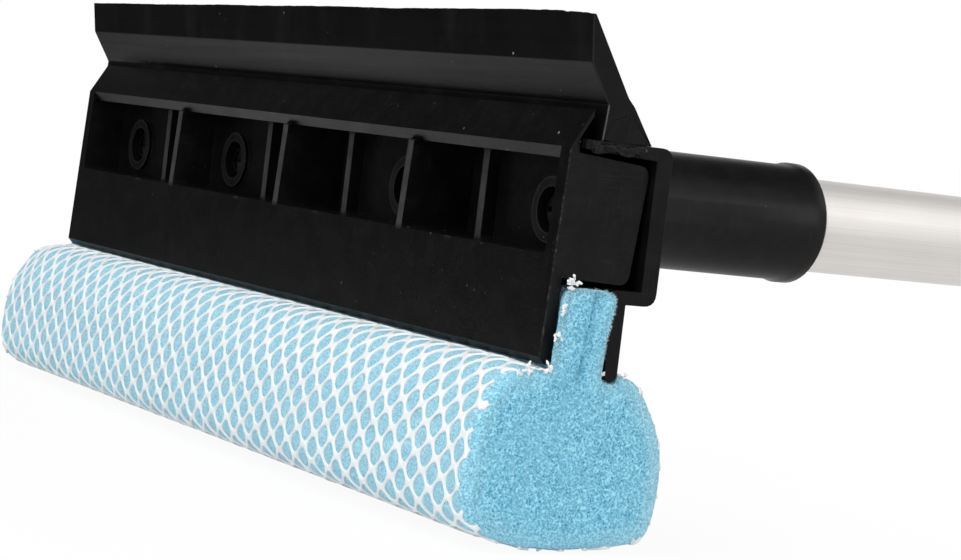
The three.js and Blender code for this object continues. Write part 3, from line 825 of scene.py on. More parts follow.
@dataclass
class SoftEdges:
    """Modifiers that round a CAD node's edges and shade it smoothly; its mesh stays as it is."""

    width: float = 0.00025
    segments: int = 2
    angle: float = 32.0  # degrees from which an edge counts as one
    group: bpy.types.NodeTree = field(init=False)

    def __post_init__(self) -> None:
        """Makes the node group that shades by angle."""
        tree = bpy.data.node_groups.new("shade_by_angle", "GeometryNodeTree")
        for side in ("INPUT", "OUTPUT"):
            tree.interface.new_socket("Geometry", in_out=side, socket_type="NodeSocketGeometry")
        start = tree.nodes.new("NodeGroupInput")
        bare = tree.nodes.new("GeometryNodeRemoveAttribute")
        bare.inputs["Name"].default_value = "custom_normal"
        faces = tree.nodes.new("GeometryNodeSetShadeSmooth")
        faces.domain = "FACE"
        edges = tree.nodes.new("GeometryNodeSetShadeSmooth")
        edges.domain = "EDGE"
        turn = tree.nodes.new("GeometryNodeInputMeshEdgeAngle")
        flat = tree.nodes.new("FunctionNodeCompare")
        flat.data_type = "FLOAT"
        flat.operation = "LESS_EQUAL"
        flat.inputs[1].default_value = math.radians(self.angle)
        end = tree.nodes.new("NodeGroupOutput")
        link = tree.links.new
        link(start.outputs[0], bare.inputs["Geometry"])
        link(bare.outputs[0], faces.inputs["Geometry"])
        link(faces.outputs[0], edges.inputs["Geometry"])
        link(turn.outputs[0], flat.inputs[0])
        link(flat.outputs[0], edges.inputs["Shade Smooth"])
        link(edges.outputs[0], end.inputs[0])
        self.group = tree

    def shade(self, node: bpy.types.Object) -> None:
        """Joins the node's points and shades it by angle.

        Args:
            node: The CAD node.
        """
        weld = node.modifiers.new("join_points", "WELD")
        weld.merge_threshold = 0.000002
        smooth = node.modifiers.new("shade_by_angle", "NODES")
        smooth.node_group = self.group

    def round(self, node: bpy.types.Object) -> None:
        """Shades the node and rounds its sharp edges.

        Args:
            node: The CAD node.
        """
        self.shade(node)
        flat = node.modifiers.new("join_flats", "DECIMATE")
        flat.decimate_type = "DISSOLVE"
        flat.angle_limit = math.radians(0.6)
        bevel = node.modifiers.new("round_edges", "BEVEL")
        bevel.width = self.width
        bevel.segments = self.segments
        bevel.limit_method = "ANGLE"
        bevel.angle_limit = math.radians(self.angle)
        bevel.use_clamp_overlap = True
        bevel.harden_normals = True


@dataclass
class ClampHead:
    """The rear channel and front frame, their screws, and the torn plastic at the channel's near end."""

    channel: MouldedPlastic
    frame: MouldedPlastic
    screws: ScrewSteel
    edges: SoftEdges
    flash_edge: tuple = (  # the torn skin's lower edge, from the channel's back and the pole's axis
        (-15.8, 10.3), (-15.5, 9.9), (-14.9, 9.8), (-13.1, 10.1), (-11.2, 10.42), (-10.4, 9.98),
        (-8.8, 9.9), (-7.5, 10.4), (-5.4, 9.95), (-3.2, 9.85),
    )
    flash_top: float = 11.8
    flash_gap: float = 0.02  # between the channel's end and the skin
    flash_least: float = 0.01  # the skin's least thickness
    flash_proud: float = 0.3
    flash_columns: int = 110
    flash_rows: int = 16

    def torn_edge(self) -> bpy.types.Object:
        """Builds the ragged skin of plastic that was left where the channel was cut to length.

        Returns:
            The new piece.
        """
        noise = SmoothNoise(11)
        edge_keys = np.array(self.flash_edge)
        across = np.linspace(edge_keys[0, 0], edge_keys[-1, 0], self.flash_columns)
        flat = np.column_stack([across, np.zeros_like(across), np.zeros_like(across)])
        curve = through_points(edge_keys, 12, False)
        share = (across - across[0]) / (across[-1] - across[0])
        lower = np.interp(across, curve[:, 0], curve[:, 1]) + 0.07 * noise.at(flat, 0.5)
        points = []
        for layer in range(2):
            for row in range(self.flash_rows):
                part = row / (self.flash_rows - 1)
                height = self.flash_top + (lower - self.flash_top) * part
                spot = np.column_stack([np.full_like(across, layer), across, height])
                bumps = noise.at(spot, 1.1) * 0.75 + noise.at(spot, 0.4) * 0.3
                edge = smooth_step(0.0, 0.3, part) * smooth_step(0.0, 0.06, share)
                edge = edge * smooth_step(1.0, 0.6, share)
                out = NEAR_END + self.flash_gap
                if layer == 1:
                    out = out + edge * self.flash_proud * (1.0 + bumps + 0.5 * part) + self.flash_least
                points.append(np.column_stack([np.zeros_like(across) + out, across, height]))
        return make_piece("torn_edge", np.concatenate(points), self.torn_faces())

    def torn_faces(self) -> list[list[int]]:
        """Joins the torn skin's two layers of points.

        Returns:
            The faces of both layers and of the rim between them.
        """
        count, rows = self.flash_columns, self.flash_rows

        def at(layer: int, row: int, col: int) -> int:
            """Numbers a point of the skin."""
            return (layer * rows + row) * count + col

        faces = []
        for row in range(rows - 1):
            for col in range(count - 1):
                a, b = at(1, row, col), at(1, row, col + 1)
                c, d = at(1, row + 1, col + 1), at(1, row + 1, col)
                faces.append([a, d, c, b])
                shift = rows * count
                faces.append([a - shift, b - shift, c - shift, d - shift])
        rim = [(0, col) for col in range(count)]
        rim += [(row, count - 1) for row in range(1, rows)]
        rim += [(rows - 1, col) for col in range(count - 2, -1, -1)]
        rim += [(row, 0) for row in range(rows - 2, 0, -1)]
        for (row, col), (next_row, next_col) in zip(rim, rim[1:] + rim[:1]):
            faces.append(
                [at(0, row, col), at(1, row, col), at(1, next_row, next_col), at(0, next_row, next_col)]
            )
        return faces

    def build(self) -> None:
        """Rounds and dresses the head's mouldings and screws."""
        nodes = frame["nodes"]
        for name, finish in (("rear_channel", self.channel), ("front_frame", self.frame)):
            self.edges.round(nodes[name])
            dress(nodes[name], finish.make())
        steel = self.screws.make()
        for name, node in nodes.items():
            if "_screw_" in name:
                self.edges.shade(node)
                dress(node, steel)
        flash = self.torn_edge()
        dress(flash, nodes["rear_channel"].material_slots[0].material)
        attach(flash, Body.HEAD.value)


@dataclass
class Blade:
    """The rubber wedge, with a wiping edge nicked and crumbled by wear, and a painted highlight on its near
    end's front edge.
    """

    finish: WipingRubber
    near: float = 100.0  # the cut ends along the head, in millimetres
    far: float = -103.2
    foot: float = 11.91  # the section, from the channel's back and the pole's axis
    heel: float = -4.3
    bend: tuple = ((-8.45, 17.75), (-9.75, 19.0))
    tip_height: float = 31.25
    tip_front: float = -18.3
    tip_width: float = 0.6
    face_low: tuple[float, float] = (-17.4, 23.8)
    neck: tuple[float, float] = (-13.4, 17.55)
    neck_foot: float = -13.85
    ridge: tuple = ((-11.83, 11.91), (-12.53, 15.13), (-9.17, 16.53), (-9.53, 11.91))
    lean: tuple = (  # how far the wiping edge stands over or under a straight line, along the head
        (-104.0, -1.15), (-84.0, -1.07), (-67.0, -0.88), (-47.0, -0.69), (-19.0, -0.48), (6.0, -0.24),
        (37.0, -0.09), (65.0, 0.2), (84.0, 0.46), (93.0, 0.4), (97.0, 0.25), (100.5, 0.1),
    )
    step: float = 0.45
    end_back: tuple = (0.30, 0.13, 0.03, 0.0)  # the cut ends' rounding, back from the cut
    end_inset: tuple = (0.0, 0.03, 0.10, 0.22)  # and in from the section
    ripples: tuple = ((0.05, 17.0), (0.03, 3.1), (0.02, 1.1))  # the wiping edge's, with their pitch
    neck_highlight: float = 0.3  # how strong the painted highlight on the near end's front edge is, below the neck
    face_highlight: float = 0.06  # and all along
    highlight_band: Span = (0.14, 0.02)  # where, back from the near end

    def section(self) -> tuple[np.ndarray, np.ndarray]:
        """Draws the wedge's outline.

        Returns:
            The outline's points, and how far each takes part in the wiping edge's wear.
        """
        corners = [
            (self.heel, self.foot, 0.25),
            (*self.bend[0], 0.35),
            (*self.bend[1], 0.3),
            (self.tip_front + self.tip_width, self.tip_height, 0.2),
            (self.tip_front, self.tip_height, 0.16),
            (*self.face_low, 0.16),
            (*self.neck, 0.3),
            (self.neck_foot, self.foot, 0.12),
            *((y, z, 0.0) for y, z in self.ridge),
        ]
        outline = rounded_outline(corners)
        wear = smooth_step(self.face_low[1], self.tip_height - 0.3, outline[:, 1])
        return outline, wear

    def wiping_edge(self, stations: np.ndarray) -> tuple[np.ndarray, np.ndarray]:
        """Draws how the wiping edge strays from a straight line.

        Args:
            stations: Places along the head.

        Returns:
            How far the edge rises and how far it sways at each place.
        """
        noise = SmoothNoise(23)
        line = np.column_stack([stations, np.zeros_like(stations), np.zeros_like(stations)])
        rise = sum(height * noise.at(line, pitch) for height, pitch in self.ripples)
        nicks = smooth_step(0.2, 0.8, noise.at(line + 7.0, 2.6)) * smooth_step(70.0, 92.0, stations)
        crumbs = 0.08 * np.abs(noise.at(line + 3.0, 0.9)) * smooth_step(74.0, 90.0, stations)
        keys = np.array(self.lean)
        rise = rise + np.interp(stations, keys[:, 0], keys[:, 1])
        sway = 0.08 * noise.at(line + 31.0, 12.0) + 0.04 * noise.at(line + 3.0, 2.0)
        return rise - 0.22 * nicks - crumbs, sway

    def build(self) -> None:
        """Builds, dresses and places the blade."""
        outline, wear = self.section()
        grooved = np.arange(len(outline)) >= len(outline) - len(self.ridge)
        away = outwards(outline) * np.where(grooved, 0.0, 1.0)[:, None]
        round_in = np.array(self.end_inset)
        round_at = np.array(self.end_back)
        middle = np.arange(self.far + 0.4, self.near - 0.4, self.step)
        stations = np.concatenate([self.far + round_at[::-1], middle, self.near - round_at])
        inset = np.concatenate([round_in[::-1], np.zeros(len(middle)), round_in])
        rise, sway = self.wiping_edge(stations)
        front = (away[:, 0] < -0.5) & ~grooved
        # painted highlight on the near end's front edge
        highlit_front = front * (self.neck_highlight * (outline[:, 1] < self.neck[1]) + self.face_highlight)
        at_tip = smooth_step(self.tip_height - 2.0, self.tip_height, outline[:, 1])
        highlight_from, highlight_to = (self.near - back for back in self.highlight_band)
        points, highlight_share = [], []
        for i, x in enumerate(stations):
            ring = outline - away * inset[i]
            ring[:, 1] += wear * rise[i]
            ring[:, 0] += wear * sway[i] * at_tip
            points.append(np.column_stack([np.full(len(ring), x), ring]))
            highlight_share.append(highlit_front * (x > highlight_from) * (x < highlight_to))
        count = len(outline)
        faces = tube_faces(len(stations), count)
        fill = tessellate_polygon([[Vector((0.0, y, z)) for y, z in outline]])
        ends = [0, (len(stations) - 1) * count]
        turn = self.turn(outline, fill[0])
        for start, flip in zip(ends, (True, False)):
            for a, b, c in fill:
                triangle = [start + a, start + b, start + c]
                faces.append(triangle if (turn > 0) != flip else triangle[::-1])
        piece = make_piece("wiping_blade", np.concatenate(points), faces)
        add_share(piece, "highlight_share", np.concatenate(highlight_share))
        self.sharpen_ends(piece)
        dress(piece, self.finish.make())
        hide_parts("blade")
        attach(piece, Body.BLADE.value)

    @staticmethod
    def turn(outline: np.ndarray, triangle: Sequence[int]) -> float:
        """Tells which way round a triangle of the outline goes."""
        a, b, c = (outline[i] for i in triangle)
        return float((b - a)[0] * (c - a)[1] - (b - a)[1] * (c - a)[0])

    @staticmethod
    def sharpen_ends(piece: bpy.types.Object) -> None:
        """Shades the blade's cut ends flat.

        Args:
            piece: The blade.
        """
        for face in piece.data.polygons:
            if abs(face.normal.x) > 0.95:
                face.use_smooth = False


@dataclass
class Sponge:
    """The foam: a rounded body under a neck with a closed slit, cut across at both ends."""

    finish: SpongeFoam
    near: float = 100.8  # the cut ends along the head, in millimetres
    far: float = -104.3
    near_round: float = 1.9  # the roundings of the cut's edges
    far_round: float = 0.7
    spacing: float = 0.62
    cut_spacing: float = 0.2
    pore_pitch: float = 0.9
    held: tuple = (
        (-17.4, -24.65), (-19.6, -24.45), (-22.6, -23.85), (-26.0, -25.1), (-28.3, -28.1),
        (-30.3, -32.6), (-31.0, -37.5), (-31.2, -43.5), (-30.5, -48.1), (-27.7, -50.7),
        (-22.0, -52.1), (-15.0, -52.4), (-8.0, -52.3), (-1.5, -51.6), (2.2, -49.9),
        (3.7, -46.6), (4.2, -41.5), (3.5, -35.5), (1.2, -30.3), (-1.3, -26.9),
        (-3.6, -25.3), (-5.1, -25.3), (-6.2, -26.2), (-7.6, -26.25), (-8.45, -25.4),
        (-8.42, -22.0), (-8.4, -17.0), (-8.4, -13.4), (-8.9, -12.0), (-10.6, -11.5),
        (-13.0, -11.4), (-15.2, -11.6), (-16.6, -12.3), (-17.2, -14.0), (-17.25, -18.0),
        (-17.25, -21.5),
    )
    free: tuple = (
        (-18.9, -23.95), (-20.2, -24.6), (-23.2, -24.7), (-26.3, -25.5), (-28.4, -28.0),
        (-30.6, -32.6), (-31.4, -37.6), (-31.7, -43.9), (-30.6, -48.1), (-27.2, -50.4),
        (-21.8, -52.3), (-15.5, -52.9), (-8.5, -52.7), (-1.0, -52.1), (3.0, -50.8),
        (4.7, -47.0), (5.1, -41.5), (4.4, -35.6), (1.8, -30.2), (-0.9, -26.4),
        (-3.4, -25.0), (-5.3, -24.6), (-6.6, -25.6), (-8.2, -25.5), (-8.9, -24.6),
        (-8.7, -21.5), (-8.1, -17.0), (-7.5, -13.2), (-8.3, -11.8), (-10.4, -11.1),
        (-13.0, -11.1), (-15.4, -11.3), (-17.3, -12.5), (-17.9, -14.2), (-18.4, -18.2),
        (-18.7, -21.5),
    )
    slit: tuple = ((-11.95, -11.0), (-12.6, -17.0), (-13.3, -22.5), (-13.8, -26.9))
    body_keys: int = 22  # the first keys go round the body, the rest round the neck
    per_span: int = 14  # points between two keys
    neck_middle: float = -13.0  # between the neck's front and its rear
    far_cut_spacing: float = 0.6
    slump: float = 1.5  # how far the far shoulder sinks
    slump_along: Span = (-91.0, -104.5)
    slump_heights: Span = (-40.0, -26.0)
    swollen_along: Span = (93.0, 100.2)  # where the body opens to its free form
    pallor: float = 0.55  # of the cut's rim
    pale_depth: float = 3.4
    struts: int = 3400  # torn ones round the near cut
    neck_struts: int = 2200  # those of them on the neck

    def outlines(self) -> tuple[np.ndarray, np.ndarray, np.ndarray]:
        """Draws the sponge's section where it is held and where it is free.

        Returns:
            The two outlines, point for point, and how far each point belongs to the neck.
        """
        held = through_points(np.array(self.held), self.per_span, True)
        free = through_points(np.array(self.free), self.per_span, True)
        key = np.arange(len(held)) / self.per_span
        neck = smooth_step(self.body_keys - 1.5, self.body_keys + 0.5, key)
        neck = np.maximum(neck, 1.0 - smooth_step(0.3, 2.2, key))
        length = np.linalg.norm(np.diff(held, axis=0, append=held[:1]), axis=1)
        run = np.concatenate([[0.0], np.cumsum(length)])
        count = int(run[-1] / self.spacing)
        spots = np.linspace(0.0, run[-1], count, endpoint=False)

        def pick(values: np.ndarray) -> np.ndarray:
            """Reads values of the closed outline at even steps."""
            return np.interp(spots, run, np.concatenate([values, values[:1]]))

        held_even = np.column_stack([pick(held[:, 0]), pick(held[:, 1])])
        free_even = np.column_stack([pick(free[:, 0]), pick(free[:, 1])])
        return held_even, free_even, pick(neck)

    def pores(self, spots: np.ndarray, seed: int) -> np.ndarray:
        """Scatters pores over a cut face.

        Args:
            spots: Rows of Y, Z on the face.
            seed: Which scatter to draw.

        Returns:
            A depth from 0 to about 1 at each spot.
        """
        size = 160
        draws = np.random.default_rng(seed).random((size, size, 4))
        cell = np.floor(spots / self.pore_pitch).astype(int)
        depth = np.zeros(len(spots))
        for dy in (-1, 0, 1):
            for dz in (-1, 0, 1):
                there = cell + (dy, dz)
                draw = draws[there[:, 0] % size, there[:, 1] % size]
                middle = (there + draw[:, :2]) * self.pore_pitch
                radius = 0.16 + 0.26 * draw[:, 2] ** 3
                away = np.linalg.norm(spots - middle, axis=1) / radius
                depth = np.maximum(depth, np.clip(1.0 - away**2, 0.0, 1.0) * (0.35 + 0.65 * draw[:, 3]))
        return depth

    def to_slit(self, spots: np.ndarray) -> tuple[np.ndarray, np.ndarray]:
        """Measures how far spots on a cut face lie from the closed slit.

        Args:
            spots: Rows of Y, Z on the face.

        Returns:
            The distance, with its sign to either side, and a share that fades past the slit's foot.
        """
        line = np.array(self.slit)
        heights = line[::-1, 1]
        middle = np.interp(spots[:, 1], heights, line[::-1, 0])
        fade = smooth_step(heights[0] - 1.5, heights[0] + 3.0, spots[:, 1])
        return spots[:, 0] - middle, fade

    def cut_face(self, rim: np.ndarray, spacing: float, seed: int) -> tuple[np.ndarray, list]:
        """Fills a cut end with points.

        Args:
            rim: The outline round the face.
            spacing: The distance between points inside.
            seed: Which scatter to draw.

        Returns:
            The face's points, the rim first, and its triangles.
        """
        low, high = rim.min(axis=0), rim.max(axis=0)
        grid = np.stack(
            np.meshgrid(np.arange(low[0], high[0], spacing), np.arange(low[1], high[1], spacing)), axis=-1
        ).reshape(-1, 2)
        draws = np.random.default_rng(seed).random(grid.shape)
        grid = grid + (draws - 0.5) * spacing * 0.6
        grid = grid[self.inside(grid, rim)]
        grid = grid[self.to_rim(grid, rim) > spacing * 0.55]
        points = np.concatenate([rim, grid])
        count = len(rim)
        edges = [(i, (i + 1) % count) for i in range(count)]
        result = delaunay_2d_cdt([Vector(p) for p in points], edges, [], 1, 1e-7)
        spots = np.array([tuple(v) for v in result[0]])
        return spots, [list(face) for face in result[2]]

    @staticmethod
    def inside(spots: np.ndarray, outline: np.ndarray) -> np.ndarray:
        """Tells which spots lie inside a closed outline.

        Args:
            spots: Rows of Y, Z.
            outline: The outline's points, in order.

        Returns:
            True for each spot inside.
        """
        found = np.zeros(len(spots), bool)
        following = np.roll(outline, -1, axis=0)
        for (y0, z0), (y1, z1) in zip(outline, following):
            if z0 == z1:
                continue
            crosses = (spots[:, 1] > z0) != (spots[:, 1] > z1)
            found ^= crosses & (spots[:, 0] < (y1 - y0) * (spots[:, 1] - z0) / (z1 - z0) + y0)
        return found

    @staticmethod
    def to_rim(spots: np.ndarray, rim: np.ndarray) -> np.ndarray:
        """Measures how far spots lie from the nearest point of the rim.

        Args:
            spots: Rows of Y, Z.
            rim: The rim's points.

        Returns:
            One distance per spot.
        """
        best = np.full(len(spots), np.inf)
        for point in rim:
            best = np.minimum(best, ((spots - point) ** 2).sum(axis=1))
        return np.sqrt(best)

    def stations(self) -> tuple[np.ndarray, np.ndarray]:
        """Lists the places along the sponge, with rounded ends.

        Returns:
            The places, and how far the outline draws in at each.
        """
        turns = np.sin(np.radians(np.linspace(0.0, 80.0, 8)))
        middle = np.arange(self.far + self.far_round, self.near - self.near_round, self.spacing)
        near_x = self.near - self.near_round + self.near_round * turns
        far_x = self.far + self.far_round - self.far_round * turns
        places = np.concatenate([far_x[::-1], middle[1:], near_x])
        return places, self.drawn_in(places)

    def drawn_in(self, places: np.ndarray) -> np.ndarray:
        """Gives how far the rounded ends draw the outline in.

        Args:
            places: Places along the head.

        Returns:
            The distance at each place, in millimetres.
        """
        inset = np.zeros(len(places))
        for past, radius in (
            (places - (self.near - self.near_round), self.near_round),
            ((self.far + self.far_round) - places, self.far_round),
        ):
            share = np.clip(past / radius, 0.0, 0.99)
            inset = inset + radius * (1.0 - np.sqrt(1.0 - share**2))
        return inset

    def slumped(self, places: np.ndarray, heights: np.ndarray) -> np.ndarray:
        """Gives how far the shoulder sinks towards the far end.

        Args:
            places: Places along the head.
            heights: Heights of the outline there.

        Returns:
            The distance, in millimetres.
        """
        along = smooth_step(*self.slump_along, places)
        return self.slump * along * smooth_step(*self.slump_heights, heights)

    def opened(self, places: np.ndarray) -> np.ndarray:
        """Gives how far the body has swollen to its free form.

        Args:
            places: Places along the head.

        Returns:
            A share from 0 to 1 at each place.
        """
        return smooth_step(*self.swollen_along, places)

    def ring_at(
        self, x: float, draw_in: float, outlines: tuple, net: "NetSleeve", noise: SmoothNoise
    ) -> np.ndarray:
        """Draws the foam's outline at one place along the head.

        Args:
            x: The place.
            draw_in: How far the rounded end draws the outline in.
            outlines: The held outline, the free one, and how far each point belongs to the neck.
            net: The net that presses into the foam.
            noise: The foam's unevenness.

        Returns:
            Rows of X, Y, Z in millimetres.
        """
        held, free, neck = outlines
        column = np.full(len(held), x)
        front_neck = neck * (held[:, 0] < self.neck_middle)
        rear_neck = neck - front_neck
        open_body = self.opened(x)
        open_rear = smooth_step(NEAR_END + 0.05, NEAR_END + 0.5, x)
        open_front = smooth_step(FRAME_END + 0.05, NEAR_END + 0.3, x)
        share = (open_body * (1.0 - neck) + open_rear * rear_neck + open_front * front_neck)[:, None]
        ring = held * (1.0 - share) + free * share
        spot = np.column_stack([column, ring])
        swell = 0.10 * noise.at(spot, 5.0) + 0.07 * noise.at(spot, 0.9)
        swell = swell * (1.0 - neck * (x < NEAR_END)) - 0.12 * neck * (x < FRAME_END)
        swell = swell + 0.3 * noise.at(spot, 1.5) * front_neck * (x > NEAR_END)
        swell = swell + net.pillows(x, held) - self.slumped(x, held[:, 1]) * (1.0 - neck)
        ring = ring + outwards(held) * (swell - draw_in * (1.0 - 0.6 * neck))[:, None]
        return np.column_stack([column, ring])

    def cut_end(self, rings: list, end: int, spacing: float, seed: int, noise: SmoothNoise) -> tuple:
        """Fills one cut end, with its pores and the closed slit.

        Args:
            rings: The foam's outlines along the head.
            end: The number of this end's ring.
            spacing: The distance between points inside.
            seed: Which scatter to draw.
            noise: The foam's unevenness.

        Returns:
            The points inside the rim, how pale each is, how much painted shade each takes in the pores and
            the slit, and triangles that number the rim's points first.
        """
        out = 1.0 if end else -1.0
        rim = rings[end][:, 1:]
        spots, triangles = self.cut_face(rim, spacing, seed)
        inner = spots[len(rim):]
        from_rim = self.to_rim(inner, rim)
        depth = self.pores(inner, seed)
        beside, fade = self.to_slit(inner)
        groove = np.exp(-((beside / 0.26) ** 2)) * fade
        step_down = smooth_step(-0.12, 0.2, beside) * smooth_step(3.0, 0.2, beside) * fade
        flat = np.column_stack([np.full(len(inner), 3.0 + end), inner])
        height = 0.08 * noise.at(flat, 4.0) + 0.05 * noise.at(flat, 0.6)
        calm = smooth_step(0.0, 0.5, from_rim)
        sink = calm * (0.3 * depth - height) + 0.5 * groove * calm + 0.7 * step_down * calm
        crown = 0.25 * smooth_step(0.0, 3.0, from_rim)
        points = np.column_stack([rings[end][0, 0] + out * (crown - sink), inner])
        # painted shade in the pores and along the closed slit
        pit_shading = np.clip(0.8 * depth * calm + (0.3 * groove + 0.25 * step_down) * calm, 0.0, 1.0)
        return points, self.rim_pallor(inner, from_rim), pit_shading, triangles

    def build(self, net: "NetSleeve") -> bpy.types.Object:
        """Builds, dresses and places the foam.

        Args:
            net: The net that presses into the foam.

        Returns:
            The new piece.
        """
        noise = SmoothNoise(37)
        outlines = self.outlines()
        neck = outlines[2]
        places, inset = self.stations()
        rings, rims = [], []
        for x, draw_in in zip(places, inset):
            ring = self.ring_at(x, draw_in, outlines, net, noise)
            rings.append(ring)
            at_cut = smooth_step(self.near - 2.5, self.near, x)
            pale = 0.5 * (1.0 - at_cut) + at_cut * self.rim_pallor(ring[:, 1:], 0.0)
            rims.append(pale * (1.0 - 0.35 * neck))
        count = len(neck)
        total = count * len(places)
        points = list(rings)
        pit_shades = [np.zeros(total)]
        faces = tube_faces(len(places), count)
        for end, spacing, seed in ((0, self.far_cut_spacing, 5), (len(places) - 1, self.cut_spacing, 6)):
            inner, pale, pit_shading, triangles = self.cut_end(rings, end, spacing, seed, noise)
            points.append(inner)
            rims.append(pale)
            pit_shades.append(pit_shading)
            numbers = [*range(end * count, (end + 1) * count), *range(total, total + len(inner))]
            for corners in triangles:
                triangle = [numbers[i] for i in corners]
                faces.append(triangle if end else triangle[::-1])
            total += len(inner)
        fuzz_points, fuzz_faces = self.fuzz(rings[-1], outwards(rings[-1][:, 1:]), total)
        points.append(fuzz_points)
        rims.append(np.ones(len(fuzz_points)))
        pit_shades.append(np.zeros(len(fuzz_points)))
        faces += fuzz_faces
        piece = make_piece("sponge_foam", np.concatenate(points), faces)
        for face in piece.data.polygons[-len(fuzz_faces):]:
            face.use_smooth = False
        add_share(piece, "rim", np.concatenate(rims))
        add_share(piece, "pit", np.concatenate(pit_shades))
        dress(piece, self.finish.make())
        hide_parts("sponge")
        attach(piece, Body.SPONGE.value)
        return piece

    def rim_pallor(self, spots: np.ndarray, from_rim: Union[float, np.ndarray]) -> np.ndarray:
        """Gives how pale the cut's rim is, most so at the back.

        Args:
            spots: Rows of Y, Z on the cut.
            from_rim: The distance of each from the rim.

        Returns:
            A share from 0 to 1.
        """
        behind = 0.45 + 0.55 * smooth_step(-10.0, 4.0, spots[:, 0])
        return self.pallor * behind * (1.0 - smooth_step(0.0, self.pale_depth, from_rim))

    def fuzz(self, rim: np.ndarray, away: np.ndarray, first: int) -> tuple[np.ndarray, list]:
        """Draws the torn struts of foam that stand out round the near cut.

        Args:
            rim: The last ring of the foam.
            away: The outward direction at each of its points.
            first: The number of the first new point.

        Returns:
            The struts' points and faces.
        """
        draws = np.random.default_rng(71)
        points, faces = [], []
        neck = np.where((rim[:, 2] > -27.5) & (rim[:, 1] > -19.6) & (rim[:, 1] < -5.5))[0]
        for strut in range(self.struts):
            on_neck = strut < self.neck_struts
            i = draws.choice(neck) if on_neck else draws.integers(len(rim))
            back = draws.random() ** 2 * 0.6
            foot = rim[i].copy()
            foot[0] += 0.05 - back
            foot[1:] += away[i] * (back * 0.5 - 0.05) + draws.normal(0.0, 0.12, 2)
            aim = np.array([draws.normal(0.15, 0.55), *(away[i] * 0.9 + draws.normal(0.0, 0.6, 2))])
            aim /= np.linalg.norm(aim)
            side = np.cross(aim, draws.normal(size=3))
            side /= np.linalg.norm(side)
            other = np.cross(aim, side)
            thick = 0.03 + 0.03 * draws.random()
            reach = (0.18 + 0.34 * draws.random() ** 2) * (1.0 if on_neck else 0.6)
            start = first + len(points)
            for k in range(3):
                turn = 2.0 * math.pi * k / 3.0
                points.append(foot + (side * math.cos(turn) + other * math.sin(turn)) * thick)
            points.append(foot + aim * reach)
            faces += [[start + 2, start + 1, start], [start, start + 1, start + 3]]
            faces += [[start + 1, start + 2, start + 3], [start + 2, start, start + 3]]
        return np.array(points), faces


